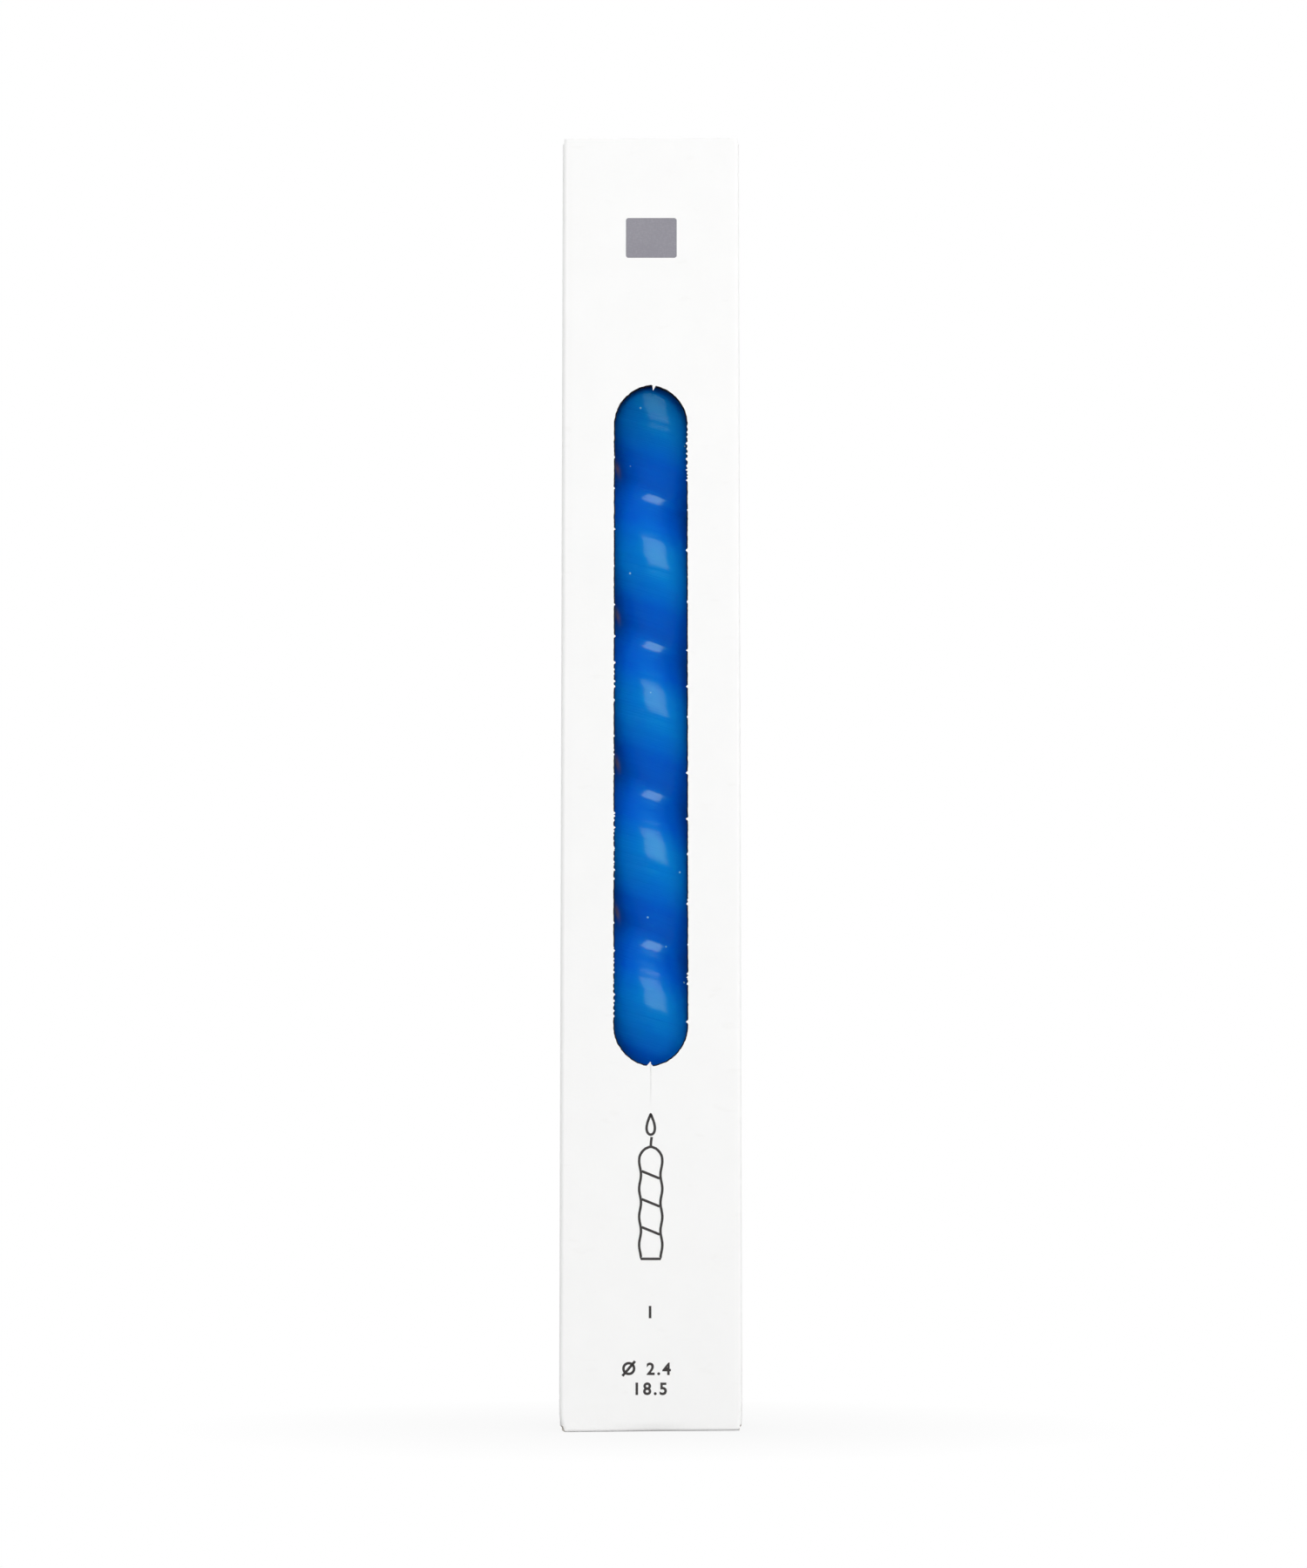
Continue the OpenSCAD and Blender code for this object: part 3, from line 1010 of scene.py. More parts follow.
@dataclass
class Print:
    """Ink on the front panel: a blank tinted patch, a candle pictogram and its plain measures.

    The patch is its left, foot, right and top; a row of figures is its text, middle and foot. A figure's
    height is type_share of the size of its type.
    """

    carton: Carton
    lift: float = 0.012
    patch: tuple[float, float, float, float] = (-3.87, 180.26, 4.03, 186.6)
    patch_corner: float = 0.4
    stroke: float = 0.39
    figure_h: float = 1.75
    type_share: float = 0.7
    type_gap: float = 1.25
    type_weight: float = 0.07
    type_steps: int = 6
    corner_points: int = 9
    slice_points: int = 13
    round_points: int = 40
    rows: tuple[tuple[str, float, float], ...] = (("1", -0.1, 17.0), ("2.4", 1.2, 8.55), ("18.5", -0.1, 5.6))
    sign_at: Pair = (-3.3, 9.45)
    sign_r: float = 0.8
    slash_reach: Pair = (0.95, 1.1)

    def on_panel(self, flat: Array) -> Array:
        """Lays flat x and z just proud of the front panel, which swells a little.

        Args:
            flat: points as x and z.

        Returns:
            Points in the frame.
        """
        y = -self.carton.sizes.half_d - self.carton.swell(flat[:, 0], flat[:, 1]) - self.lift
        return np.stack([flat[:, 0], y, flat[:, 1]], axis=-1)

    def band(self, path: Array, closed: bool = False) -> tuple[Array, Array]:
        """A stroke of even width along a path: each point gives one point to either side.

        Args:
            path: points as x and z.
            closed: whether the path joins up.

        Returns:
            Points and quads.
        """
        if closed:
            heading = np.roll(path, -1, axis=0) - np.roll(path, 1, axis=0)
        else:
            heading = np.gradient(path, axis=0)
        side = np.stack([-heading[:, 1], heading[:, 0]], axis=-1)
        side /= np.linalg.norm(side, axis=1, keepdims=True)
        points = np.concatenate([path + side * self.stroke / 2, path - side * self.stroke / 2])
        first = np.arange(len(path))
        if closed:
            first = np.append(first, 0)
        a, b, n = first[:-1], first[1:], len(path)
        return points, np.stack([a + n, b + n, b, a], axis=-1)

    def figures(self, text: str, x: float, z: float) -> tuple[Array, Array]:
        """Plain figures as flat triangles, centred on a point.

        Args:
            text: the figures.
            x: middle of the line.
            z: foot of the line.

        Returns:
            Points as x and z, and triangles.
        """
        curve = bpy.data.curves.new("figures", "FONT")
        curve.body = text
        curve.align_x = "CENTER"
        curve.size = self.figure_h / self.type_share
        curve.space_character = self.type_gap
        curve.offset = self.type_weight
        curve.resolution_u = self.type_steps
        holder = bpy.data.objects.new("figures", curve)
        bpy.context.scene.collection.objects.link(holder)
        bpy.context.view_layer.update()
        mesh = bpy.data.meshes.new_from_object(holder.evaluated_get(bpy.context.evaluated_depsgraph_get()))
        mesh.calc_loop_triangles()
        flat = np.empty(len(mesh.vertices) * 3)
        mesh.vertices.foreach_get("co", flat)
        corners = np.empty(len(mesh.loop_triangles) * 3, dtype=np.int32)
        mesh.loop_triangles.foreach_get("vertices", corners)
        bpy.data.objects.remove(holder)
        bpy.data.curves.remove(curve)
        bpy.data.meshes.remove(mesh)
        return flat.reshape(-1, 3)[:, :2] + np.array([x, z]), corners.reshape(-1, 3)

    def ink(self, name: str, shapes: list[tuple[Array, Array]], material: Material) -> None:
        """Joins flat shapes into one printed piece on the carton; a triangle's fourth corner becomes -1.

        Args:
            name: name of the piece.
            shapes: points as x and z, with faces.
            material: ink.
        """
        starts = np.cumsum([0] + [len(points) for points, _ in shapes])
        faces = [np.concatenate([face, np.full((len(face), 4 - face.shape[1]), -1 - start)], axis=1) + start
                 for (_, face), start in zip(shapes, starts)]
        points = self.on_panel(np.concatenate([points for points, _ in shapes]))
        joined = np.concatenate(faces)
        piece = new_piece(name, Solid(points, joined, np.zeros(len(joined), int)), [material])
        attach(piece, "carton")
        LOG.info("%s: %d faces", name, len(joined))

    def blank_patch(self) -> None:
        """The tinted patch: a rectangle with round corners, as a strip of level slices."""
        x0, z0, x1, z1 = self.patch
        r = self.patch_corner
        bend = np.sin(np.linspace(0.0, math.pi / 2, self.corner_points))
        z = np.concatenate([z0 + r * (1.0 - bend[::-1]), z1 - r * (1.0 - bend)])
        inset = r - r * np.sqrt(np.maximum(1.0 - np.concatenate([bend[::-1], bend]) ** 2, 0.0))
        share = np.linspace(0.0, 1.0, self.slice_points)[None]
        x = share * (x1 - x0 - 2 * inset)[:, None] + (x0 + inset)[:, None]
        points = np.stack([x, np.broadcast_to(z[:, None], x.shape)], axis=-1).reshape(-1, 2)
        self.ink("blank_patch", [(points, quads_of(np.arange(len(points)).reshape(x.shape)))],
                 self.carton.finishes.grey_ink)

    def pictogram(self) -> list[tuple[Array, Array]]:
        """A candle in outline: wavy sides with a round top, three slanting grooves, a wick and a flame.

        Returns:
            Strokes as points and quads.
        """
        foot, top, half = 25.8, 42.6, 1.75
        wave_deep, wave_long, dome = 0.28, 4.2, 1.6
        groove_half, groove_fall, groove_levels = 1.35, 0.55, (30.0, 34.2, 38.4)
        wick = [[0.0, 0.1], [0.05, 0.8], [0.15, 1.5]]
        flame_half, flame_rise, flame_middle = 0.85, 1.55, 3.4
        z = np.linspace(foot, top, 65)
        wave = half - wave_deep * (0.5 + 0.5 * np.cos((z - foot) * TURN / wave_long))
        taper = np.sqrt(np.clip(1.0 - ((z - top + dome) / dome).clip(0.0) ** 2, 0.02, 1.0))
        right = np.stack([wave * taper, z], axis=-1)
        strokes = [self.band(np.concatenate([right, right[::-1] * MIRROR]), True)]
        slope = np.linspace(-1.0, 1.0, 9)
        for level in groove_levels:
            strokes.append(self.band(np.stack([groove_half * slope, level - groove_fall * slope], axis=-1)))
        strokes.append(self.band(np.array(wick) + np.array([0.0, top])))
        turn = round_angles(self.round_points)
        drop = np.stack([flame_half * np.sin(turn) * (0.5 + 0.5 * np.cos(turn)) ** 0.6,
                         top + flame_middle - flame_rise * np.cos(turn)], axis=-1)
        return strokes + [self.band(drop, True)]

    def diameter_sign(self) -> list[tuple[Array, Array]]:
        """The diameter sign: a ring with a slash through it.

        Returns:
            Strokes as points and quads.
        """
        turn = round_angles(self.round_points)
        ring = self.sign_r * np.stack([np.cos(turn), np.sin(turn)], axis=-1)
        slash = np.linspace(-1.0, 1.0, 5)[:, None] * np.array(self.slash_reach)
        return [self.band(ring + np.array(self.sign_at), True), self.band(slash + np.array(self.sign_at))]

    def build(self) -> None:
        """Prints the patch, the pictogram and the measures."""
        self.blank_patch()
        shapes = self.pictogram() + self.diameter_sign() + [self.figures(*row) for row in self.rows]
        self.ink("measure_print", shapes, self.carton.finishes.dark_ink)


# Closures


@dataclass(frozen=True)
class ClosureSizes:
    """Sizes of one tuck closure in millimetres, drawn at the top of the carton."""

    lid_half: float = 13.45
    lid_front: float = -12.3
    tuck_y: float = -12.55
    tuck_drop: float = 0.2
    tuck_len: float = 6.8
    tuck_half: float = 12.6
    tuck_corner: float = 2.5
    lean_deg: float = 6.5
    dust_drop: float = 0.45
    dust_front: float = -11.35
    dust_back: float = 12.35
    dust_len: float = 11.5
    dust_taper_deg: float = 6.0
    root: float = 0.25


@dataclass
class Closure:
    """A lid with its tongue and two dust flaps, and the creases that join them to the sleeve."""

    end: End
    finishes: Finishes
    sizes: ClosureSizes
    carton: CartonSizes = SIZES
    span_points: int = 41
    bend_points: int = 13
    tuck_points: int = 14
    corner_points: int = 15
    dust_rows: int = 25
    dust_columns: int = 31

    def turn(self, vectors: Array) -> Array:
        """Turns directions of the top closure end for end for the bottom: y and z change sign."""
        return vectors if self.end is End.TOP else vectors * np.array([1.0, -1.0, -1.0])

    def place(self, points: Array) -> Array:
        """The same turn for points, with z running down from the top."""
        return points if self.end is End.TOP else self.turn(points) + self.carton.height * UPWARD

    def span(self, low: float, high: float) -> Array:
        """Even distances from low to high along a crease."""
        return np.linspace(low, high, self.span_points)

    def named(self, name: str) -> str:
        """A name with its end before it."""
        return f"{self.end.value}_{name}"

    def sheet(self, name: str, points: Array, normals: Array) -> bpy.types.Object:
        """A piece of board from a grid in the top closure's frame.

        Args:
            name: name of the piece, without its end.
            points: grid of outside points.
            normals: outward normals.

        Returns:
            The piece, not yet on a body.
        """
        solid = board_shell(self.place(points), self.turn(normals), self.carton.board)
        solid.points = FOOT_WEAR.settle(solid.points)
        piece = new_piece(self.named(name), solid, self.finishes.board)
        LOG.info("%s: %d faces", piece.name, len(solid.faces))
        return piece

    def flap(self, name: str, node: str, body: str, points: Array, normal: Array) -> None:
        """A flat flap that stands for a node and rides on a body.

        Args:
            name: name of the piece.
            node: node that it stands for.
            body: body that it rides on; all three without their end.
            points: grid of outside points.
            normal: outward normal.
        """
        piece = self.sheet(name, points, np.broadcast_to(normal, points.shape))
        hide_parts(self.named(node))
        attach(piece, self.named(body))

    def crease(self, name: str, bodies: tuple[str, str], line: Array, centre: Array, r: float,
               angles: Pair = (0.0, 90.0), across: Array = BACKWARD) -> None:
        """A bent strip that joins two sheets: an arc of radius r carried along a line.

        Args:
            name: name of the strip.
            bodies: bodies at its start and end; not used.
            line: points along the crease, relative to the centre.
            centre: centre of the arc.
            r: outside radius.
            angles: first and last angle in degrees, from across towards up.
            across: unit direction at angle 0.
        """
        angle = np.radians(np.linspace(*angles, self.bend_points))
        normal = np.cos(angle)[:, None] * across + np.sin(angle)[:, None] * UPWARD
        normals = np.broadcast_to(normal[:, None], (len(angle), len(line), 3))
        piece = self.sheet(name, centre + line[None] + r * normals, normals)
        middle = centre + line.mean(axis=0)
        start = self.place(middle + r * normal[0]) * MM
        finish = self.place(middle + r * normal[-1]) * MM
        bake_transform(piece)

    def lid(self) -> None:
        """The lid, from its crease at the back to the tongue's crease at the front."""
        c, s = self.carton, self.sizes
        across = self.span(-s.lid_half, s.lid_half)
        x, y = np.meshgrid(across, self.span(s.lid_front, c.half_d - c.crease))
        self.flap("lid_sheet", "lid", "lid", np.stack([x, y, np.full_like(x, c.height)], axis=-1), UPWARD)
        self.crease("lid_crease", ("carton", self.named("lid")), across[:, None] * RIGHTWARD,
                    np.array([0.0, c.half_d - c.crease, c.height - c.crease]), c.crease)

    def tongue(self) -> None:
        """The tongue: it hangs from its crease, leans inwards and has round free corners."""
        c, s = self.carton, self.sizes
        lean = math.radians(s.lean_deg)
        down = np.array([0.0, math.sin(lean), -math.cos(lean)])
        out = np.array([0.0, -math.cos(lean), -math.sin(lean)])
        face = np.array([0.0, s.tuck_y, c.height - s.tuck_drop]) + c.board / 2 * out
        straight = np.linspace(s.root, s.tuck_len - s.tuck_corner, self.tuck_points)[:-1]
        rounding = s.tuck_corner * (1.0 - np.sin(np.linspace(0.0, math.pi / 2, self.corner_points)))
        reach = np.concatenate([straight, s.tuck_len - rounding])
        past = np.clip(reach - s.tuck_len + s.tuck_corner, 0.0, s.tuck_corner)
        half = s.tuck_half - s.tuck_corner + np.sqrt(s.tuck_corner ** 2 - past ** 2)
        x = half[:, None] * self.span(-1.0, 1.0)[None]
        points = face + reach[:, None, None] * down + x[..., None] * RIGHTWARD
        self.flap("tuck_sheet", "tuck_tongue", "tuck", points, out)
        root = face + s.root * down
        r = float((root[1] - s.lid_front) / out[1])
        self.crease("tuck_crease", (self.named("lid"), self.named("tuck")),
                    self.span(-s.tuck_half, s.tuck_half)[:, None] * RIGHTWARD,
                    np.array([0.0, s.lid_front, c.height - r]), r, (90.0, s.lean_deg + 180.0))

    def dust(self, hand: Hand) -> None:
        """A dust flap: square and slightly tapered at the tongue, bevelled at the lid's crease.

        Args:
            hand: side of the carton.
        """
        c, s = self.carton, self.sizes
        reach = np.linspace(s.root, s.dust_len, self.dust_rows)
        front = s.dust_front + reach * math.tan(math.radians(s.dust_taper_deg))
        back = s.dust_back - reach
        share = np.linspace(0.0, 1.0, self.dust_columns)[None]
        y = front[:, None] + (back - front)[:, None] * share
        x = hand.value * (c.half_w - c.board / 2 - reach)[:, None] + np.zeros_like(y)
        points = np.stack([x, y, np.full_like(x, c.height - s.dust_drop)], axis=-1)
        side = hand.name.lower()
        self.flap(f"{side}_dust_sheet", f"{side}_dust_flap", f"{side}_dust", points, UPWARD)
        centre = np.array([hand.value * (c.half_w - c.crease), 0.0, c.height - s.dust_drop - c.crease])
        self.crease(f"{side}_dust_crease", ("carton", self.named(f"{side}_dust")),
                    self.span(s.dust_front, s.dust_back)[:, None] * BACKWARD, centre, c.crease,
                    across=hand.value * RIGHTWARD)

    def build(self) -> None:
        """Builds the lid, tongue and both dust flaps."""
        self.lid()
        self.tongue()
        self.dust(Hand.LEFT)
        self.dust(Hand.RIGHT)


# Candle


@dataclass
class Candle:
    """The candle: a wax body with a single left-handed spiral groove, and a twisted cotton wick.

    A ripple is its height, its waves along the twist and round the candle, and its start. The wick's bend
    is its reach and the length that it takes.
    """

    finishes: Finishes
    centre: Pair = (0.23, -0.884)
    foot: float = 0.95
    radius: float = 12.0
    length: float = 185.0
    groove_depth: float = 2.9
    crest_r: float = 18.0
    groove_r: float = 3.8
    pitch: float = SPIRAL_PITCH
    groove_z: float = 120.3
    dome: float = 9.0
    tip_r: float = 3.5
    bevel: float = 1.0
    columns: int = 208
    rows: int = 400
    bevel_rows: int = 6
    dome_rows: int = 25
    ripples: tuple[tuple[float, int, int, float], ...] = ((0.018, 7, 2, 0.0), (0.012, 17, -3, 1.3))
    # painted reflection of the brown board inside, at the window's left edge
    kraft_reflection_cover: float = 0.62
    kraft_reflection_angle_deg: Pair = (-34.0, 2.2)
    kraft_reflection_above: Pair = (2.3, 1.0)
    kraft_reflection_heights: Pair = (62.0, 156.0)
    kraft_reflection_fade: float = 6.0
    wick_r: float = 0.98
    wick_free: float = 10.0
    wick_fine: float = 14.0
    wick_bend: Pair = (0.35, 9.0)
    wick_columns: int = 60
    wick_rows: tuple[int, int] = (90, 120)
    strands: int = 3
    strand_depth: float = 0.3
    twist: float = 5.2

    def turns(self, angle: Array, z: Array) -> Array:
        """Turns from the nearest groove, from -0.5 to 0.5; the groove runs down by a pitch a turn towards +x."""
        turns = (z - self.groove_z) / self.pitch + angle / TURN
        return turns - np.round(turns)

    def spiral(self, angle: Array, z: Array) -> tuple[Array, Array]:
        """Radius of the spiral and its depth below the crest.

        The section along the axis is a wide crest arc, a straight flank that touches it, and a narrow
        groove arc that touches the flank.

        Args:
            angle: angle from the front, in radians.
            z: height.

        Returns:
            Radius in millimetres, and depth from 0 on the crest to 1 in the groove.
        """
        half, deepest = self.pitch / 2, self.groove_depth
        span = 2 * (self.crest_r + self.groove_r) - deepest
        slope = 2 * math.atan((half - math.sqrt(half ** 2 - span * deepest)) / span)
        crest_reach, groove_reach = self.crest_r * math.sin(slope), self.groove_r * math.sin(slope)
        from_groove = np.abs(self.turns(angle, z)) * self.pitch
        from_crest = half - from_groove
        crest_fall = self.crest_r * (1.0 - math.cos(slope))
        flank = crest_fall + (from_crest - crest_reach) * math.tan(slope)
        cap = self.crest_r - np.sqrt(self.crest_r ** 2 - np.minimum(from_crest, crest_reach) ** 2)
        hollow = deepest - self.groove_r + np.sqrt(self.groove_r ** 2 - np.minimum(from_groove, groove_reach) ** 2)
        depth = np.where(from_crest < crest_reach, cap, np.where(from_groove < groove_reach, hollow, flank))
        return self.radius - depth, depth / deepest

    def board_dust(self, angle: Array, z: Array) -> Array:
        """Painted reflection of the brown board inside, on the lower shoulder of each crest, where it meets the
        window's left edge.

        A mark is a bell over the angle times a bell over the height above the groove's middle, each given
        by its middle and width, and it fades out towards the ends of the window.

        Args:
            angle: angle from the front, in radians.
            z: height.

        Returns:
            Cover from 0 to 1.
        """
        middle, width = np.radians(self.kraft_reflection_angle_deg)
        sideways = (np.mod(angle + math.pi, TURN) - math.pi - middle) / width
        above = (self.turns(angle, z) * self.pitch - self.kraft_reflection_above[0]) / self.kraft_reflection_above[1]
        low, high = self.kraft_reflection_heights
        behind_window = smooth((z - low) / self.kraft_reflection_fade) * smooth((high - z) / self.kraft_reflection_fade)
        return self.kraft_reflection_cover * np.exp(-sideways ** 2 - above ** 2) * behind_window

    def painted_end_shade(self, z: Array) -> Array:
        """Painted shade, which grows towards the tip and, less so, towards the foot.

        Args:
            z: height.

        Returns:
            Share of the painted shade colour, from 0 to 1.
        """
        tip, tip_from, tip_over = 0.6, 144.0, 17.0
        foot, foot_from, foot_over = 0.22, 70.0, 16.0
        return tip * smooth((z - tip_from) / tip_over) + foot * smooth((foot_from - z) / foot_over)

    def rings(self, radius: Array, angle: Array, level: Array, bend: Array | float = 0.0) -> Array:
        """Points of rings about the candle's axis; the angle runs from the front towards +x."""
        return np.stack([self.centre[0] + bend + radius * np.sin(angle), self.centre[1] - radius * np.cos(angle),
                         np.broadcast_to(level, radius.shape)], axis=-1)

    @staticmethod
    def mark(piece: bpy.types.Object, name: str, values: Array, poles: Pair = (0.0, 0.0)) -> None:
        """Stores one number per point on the mesh, with those of the two poles last."""
        attribute = piece.data.attributes.new(name, "FLOAT", "POINT")
        attribute.data.foreach_set("value", np.append(values, poles).astype(np.float32))

    @staticmethod
    def seat(piece: bpy.types.Object, node: str, slot: str) -> None:
        """Puts a piece in place of its node and on the candle.

        Args:
            piece: the piece.
            node: node that it stands for.
            slot: the record's material slot; not used.
        """
        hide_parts(node)
        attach(piece, "candle")
        LOG.info("%s: %d points", piece.name, len(piece.data.vertices))

    def wax(self) -> None:
        """The wax body: rings whose radius follows the spiral, drawn in at the bevelled foot and round top.

        The share of the radius left at the top falls as an ellipse; a small meniscus of wax climbs the
        wick. Faint ripples, a few hundredths of a millimetre, follow the twist.
        """
        foot_cap = np.array([0.33, 0.45, 0.72])[:, None]
        tip_cap = np.array([0.8, 0.55, 0.36])[:, None]
        meniscus = np.array([0.04, 0.12, 0.3])
        shoulder = self.length - self.dome
        heights = np.concatenate([np.linspace(0.0, self.bevel, self.bevel_rows)[:-1],
                                  np.linspace(self.bevel, shoulder, self.rows),
                                  shoulder + self.dome * np.sin(np.linspace(0.0, math.pi / 2, self.dome_rows))[1:]])
        share = np.where(heights < self.bevel, 1.0 - (self.bevel - heights) / self.radius, 1.0)
        rise = np.clip((heights - shoulder) / self.dome, 0.0, 1.0)
        share = share * np.sqrt(1.0 - (1.0 - (self.tip_r / self.radius) ** 2) * rise ** 2)
        angle = round_angles(self.columns)[None]
        z = (self.foot + heights)[:, None]
        radius, depth = self.spiral(angle, z)
        phase = TURN * z / self.pitch + angle
        ripple = sum(high * np.sin(along * phase + across * angle + start)
                     for high, along, across, start in self.ripples)
        radius = (radius + ripple * (share > 0.98)[:, None]) * share[:, None]
        radius = np.concatenate([radius[:1] * foot_cap, radius, radius[-1:] * tip_cap])
        level = np.concatenate([np.repeat(z[0], 3), z[:, 0], z[-1] + meniscus])[:, None]
        depth = np.pad(depth * share[:, None], ((3, 3), (0, 0)))
        piece = new_piece("wax_spiral", tube_solid(self.rings(radius, angle, level)), [self.finishes.wax], 60.0)
        self.mark(piece, "spiral_depth", depth)
        # painted reflection of the brown board inside
        self.mark(piece, "board_dust", self.board_dust(angle, level))
        # painted shade towards the tip and the foot
        end_shade = self.painted_end_shade(level)
        self.mark(piece, "painted_end_shade", np.broadcast_to(end_shade, radius.shape), (end_shade[0, 0], end_shade[-1, 0]))
        self.seat(piece, "wax_body", "blue_wax")

    def wick(self) -> None:
        """The wick: three strands twisted together, as a three-lobed section that turns as it climbs.

        The radius falls between strands as a rectified sine, so the valleys are sharp, and fine waves of
        yarn climb round it. The cut end closes over its last rings, and the free end bends to the right.
        """
        end_drop, end_share = np.array([0.22, 0.1, 0.02]), np.array([0.93, 0.72, 0.3])
        top = self.foot + self.length + self.wick_free
        fine = top - self.wick_fine
        hidden, shown = self.wick_rows
        z = np.concatenate([np.linspace(self.foot, fine, hidden)[:-1], np.linspace(fine, top - 0.35, shown),
                            top - end_drop])[:, None]
        angle = round_angles(self.wick_columns)[None]
        lobes = np.abs(np.sin(self.strands / 2 * (angle - TURN * z / self.twist)))
        valley = (1.0 - lobes) ** 1.6
        yarn = 0.015 * np.sin(21 * angle + 9.0 * z)
        draw_in = np.concatenate([np.ones(len(z) - len(end_share)), end_share])[:, None]
        radius = self.wick_r * (0.95 - self.strand_depth * valley + yarn) * draw_in
        reach, over = self.wick_bend
        points = self.rings(radius, angle, z, reach * smooth((z - top + over) / over))
        piece = new_piece("twisted_wick", tube_solid(points), [self.finishes.cotton], 70.0)
        # the valley depth also places the painted shade between strands
        self.mark(piece, "strand_depth", valley)
        self.seat(piece, "wick", "cotton_wick")

    def build(self) -> None:
        """Builds the wax and the wick."""
        self.wax()
        self.wick()


# Studio


@dataclass(frozen=True)
class Softbox:
    """A soft lamp with a rectangular face, aimed at a point, in metres."""

    name: str
    place: Vector
    size: Pair
    watts: float
    mirrored: bool = True
    aim: Vector = (0.0, 0.0, 0.1)

    def build(self) -> None:
        """Adds the lamp; a lamp that isn't mirrored leaves no image of itself in the wax."""
        lamp = bpy.data.lights.new(self.name, "AREA")
        lamp.shape = "RECTANGLE"
        lamp.size, lamp.size_y = self.size
        lamp.energy = self.watts
        holder = bpy.data.objects.new(self.name, lamp)
        holder.visible_glossy = self.mirrored
        bpy.context.scene.collection.objects.link(holder)
        aim = np.array(self.aim) - np.array(self.place)
        pitch = math.atan2(math.hypot(aim[0], aim[1]), -aim[2])
        holder.location = self.place
        holder.rotation_euler = (pitch, 0.0, math.atan2(-aim[0], aim[1]))


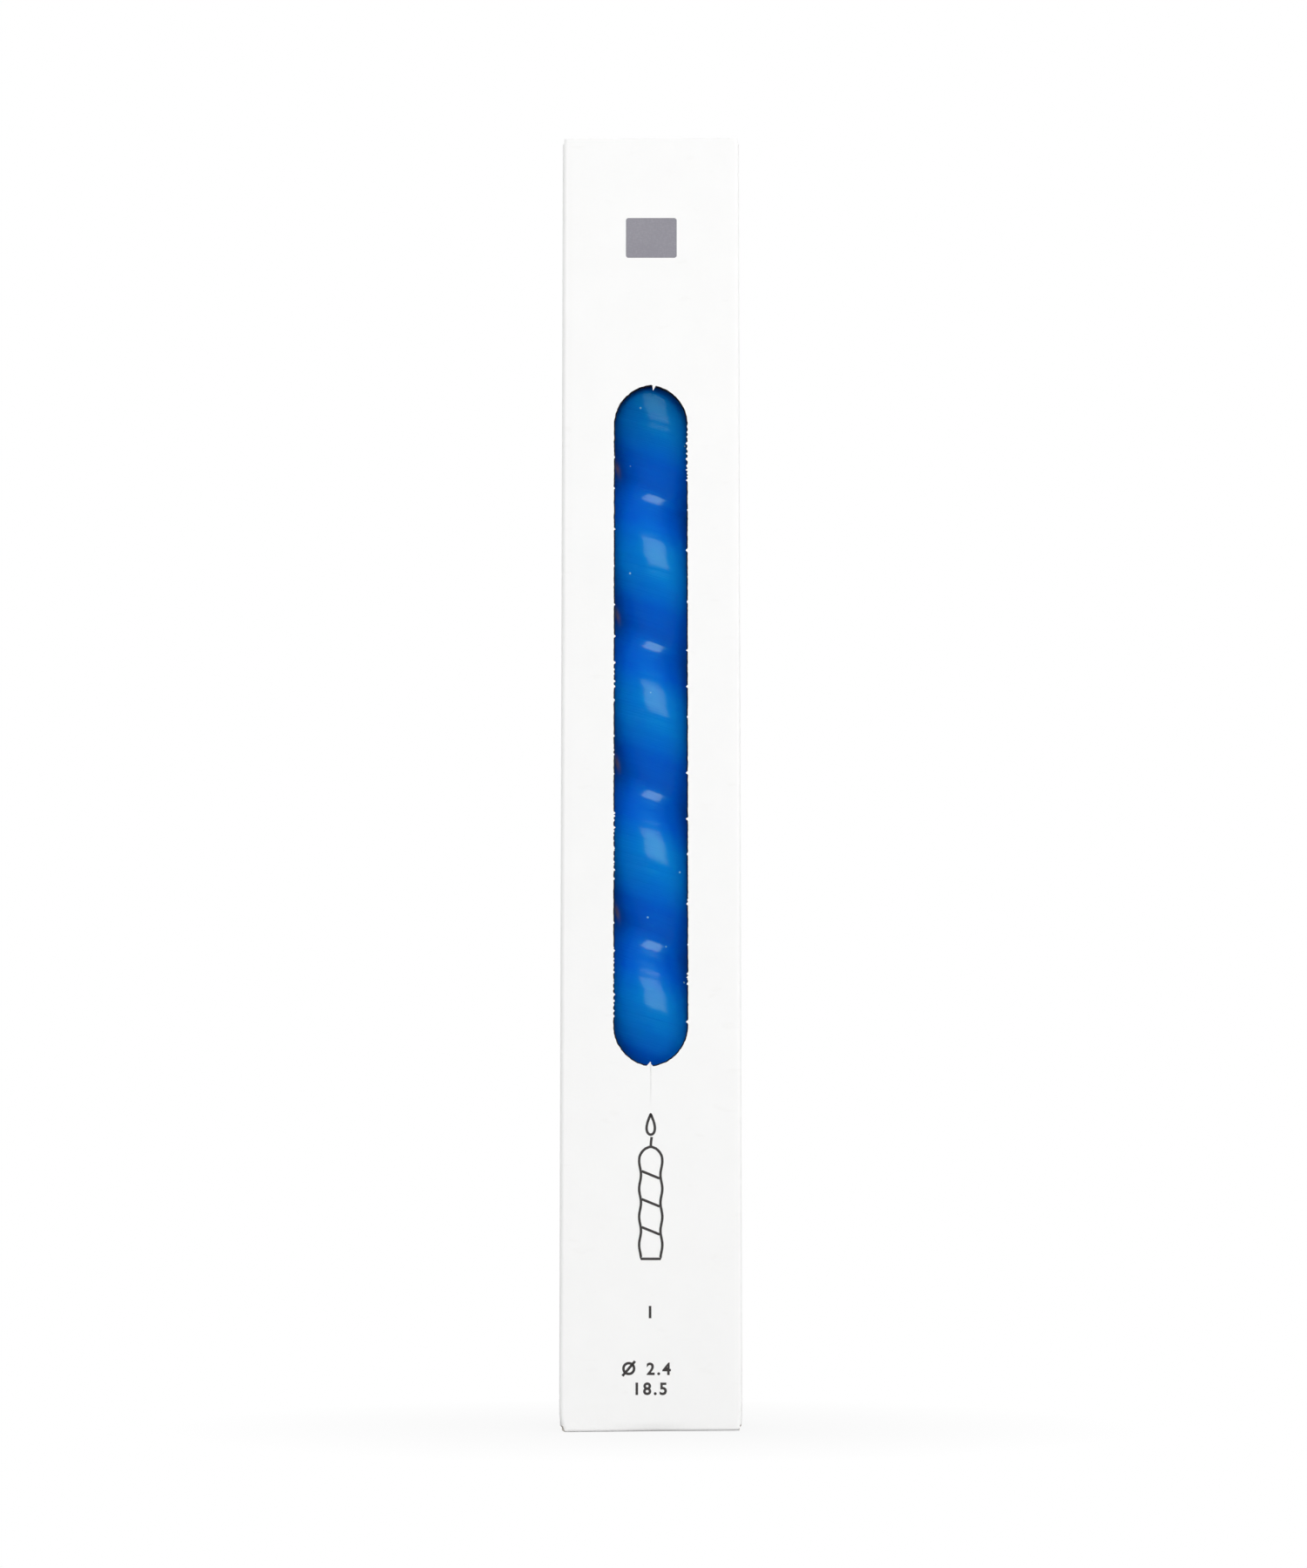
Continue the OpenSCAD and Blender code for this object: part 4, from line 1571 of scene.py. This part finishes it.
@dataclass
class Studio:
    """White floor, soft lamps and the camera in front of the window, in metres.

    The floor fades from its near share of white to full white between two distances; its greys, and the
    shares of the ambient light, are for plain and for mirrored rays.
    """

    floor_half: float = 3.0
    floor_fade: Pair = (0.015, 0.075)
    floor_near: float = 0.9
    floor_grey: Pair = (0.48, 0.12)
    floor_behind: float = 0.02
    ambient: float = 0.25
    ambient_mirrored: float = 0.3
    camera: Vector = (0.00042, -0.56375, 0.03583)
    pitch_deg: float = 6.436
    lens: float = 83.03
    sensor: float = 36.0
    clip: Pair = (0.01, 20.0)
    lamps: tuple[Softbox, ...] = (
        Softbox("front_softbox", (0.46, -2.706, 1.4), (1.65, 1.75), 38.5),
        Softbox("fill_softbox", (-0.5, -1.75, 0.2), (1.2, 0.36), 8.2, False),
        Softbox("left_softbox", (-1.3, 0.2, 0.4), (1.2, 0.7), 4.0, False),
        Softbox("side_softbox", (1.3, -0.5, 0.5), (1.4, 1.4), 11.2, False),
        Softbox("top_softbox", (0.0, 0.65, 1.4), (1.2, 1.2), 6.0),
        Softbox("back_softbox", (-0.5, 1.9, 0.8), (1.5, 1.5), 19.0, False),
    )

    @staticmethod
    def rays(nodes: NodeTree, where: Socket, behind_from: float) -> tuple[Socket, Socket]:
        """Shares of the rays that see the white background, and of the mirrored rays.

        The background is seen by the camera, and by mirrored rays that run behind the object.

        Args:
            nodes: the tree to lay out.
            where: place or heading, whose y runs to the back.
            behind_from: y from which a mirrored ray starts to see it.

        Returns:
            The two shares.
        """
        ray = nodes.add("ShaderNodeLightPath").outputs
        depth = nodes.add("ShaderNodeSeparateXYZ", {0: where}).outputs["Y"]
        mirrored = nodes.math("ADD", ray["Is Glossy Ray"], ray["Is Transmission Ray"], True)
        behind = nodes.math("MULTIPLY", mirrored, nodes.spread(depth, behind_from, 0.3))
        return nodes.math("ADD", ray["Is Camera Ray"], behind, True), mirrored

    def floor(self) -> None:
        """The floor: pale near the object, fading to the white background further out."""
        h = self.floor_half
        corners = np.array([[-h, -h, 0.0], [h, -h, 0.0], [h, h, 0.0], [-h, h, 0.0]]) / MM
        material, nodes, shader = new_material("studio_floor")
        where = nodes.add("ShaderNodeTexCoord").outputs["Object"]
        away = nodes.add("ShaderNodeVectorMath", {0: where}, operation="LENGTH").outputs["Value"]
        far = nodes.spread(away, *self.floor_fade, self.floor_near, 1.0)
        seen, mirrored = self.rays(nodes, where, self.floor_behind)
        nodes.fill(shader, {"Base Color": nodes.spread(mirrored, 0.0, 1.0, *self.floor_grey),
                            "Roughness": 1.0, "Specular IOR Level": 0.0})
        white = nodes.add("ShaderNodeEmission", {"Color": WHITE, "Strength": 1.0})
        mixed = nodes.add("ShaderNodeMixShader", {0: nodes.math("MULTIPLY", far, seen), 1: shader.outputs[0],
                                                  2: white.outputs[0]})
        nodes.fill(nodes.tree.nodes["Material Output"], {"Surface": mixed.outputs[0]})
        solid = Solid(corners, np.array([[0, 1, 2, 3]]), np.zeros(1, int))
        new_piece("studio_floor", solid, [material])

    def world(self) -> None:
        """A white background behind the object, to the camera and in reflections, and a low even light."""
        world = bpy.data.worlds.new("studio")
        bpy.context.scene.world = world
        world.use_nodes = True
        nodes = NodeTree(world.node_tree)
        seen, mirrored = self.rays(nodes, nodes.add("ShaderNodeTexCoord").outputs["Generated"], 0.0)
        low = nodes.spread(mirrored, 0.0, 1.0, self.ambient, self.ambient_mirrored * self.ambient)
        nodes.fill(nodes.tree.nodes["Background"], {"Color": WHITE, "Strength": nodes.math("MAXIMUM", seen, low)})

    def build(self) -> None:
        """Adds the floor, world, lamps and camera."""
        scene = bpy.context.scene
        scene.view_settings.view_transform = "Standard"
        self.floor()
        self.world()
        for lamp in self.lamps:
            lamp.build()
        camera = bpy.data.cameras.new("camera")
        camera.sensor_fit = "VERTICAL"
        camera.sensor_height = self.sensor
        camera.lens = self.lens
        camera.clip_start, camera.clip_end = self.clip
        holder = bpy.data.objects.new("camera", camera)
        scene.collection.objects.link(holder)
        holder.location = self.camera
        holder.rotation_euler = (math.radians(90.0 + self.pitch_deg), 0.0, 0.0)
        scene.camera = holder


def main() -> None:
    """Builds the studio, the carton, its closures and the candle."""
    Studio().build()
    finishes = Finishes()
    carton = Carton(finishes)
    carton.build()
    Print(carton).build()
    for end in End:
        Closure(end, finishes, ClosureSizes()).build()
    Candle(finishes).build()


if __name__ == "__main__":
    main()
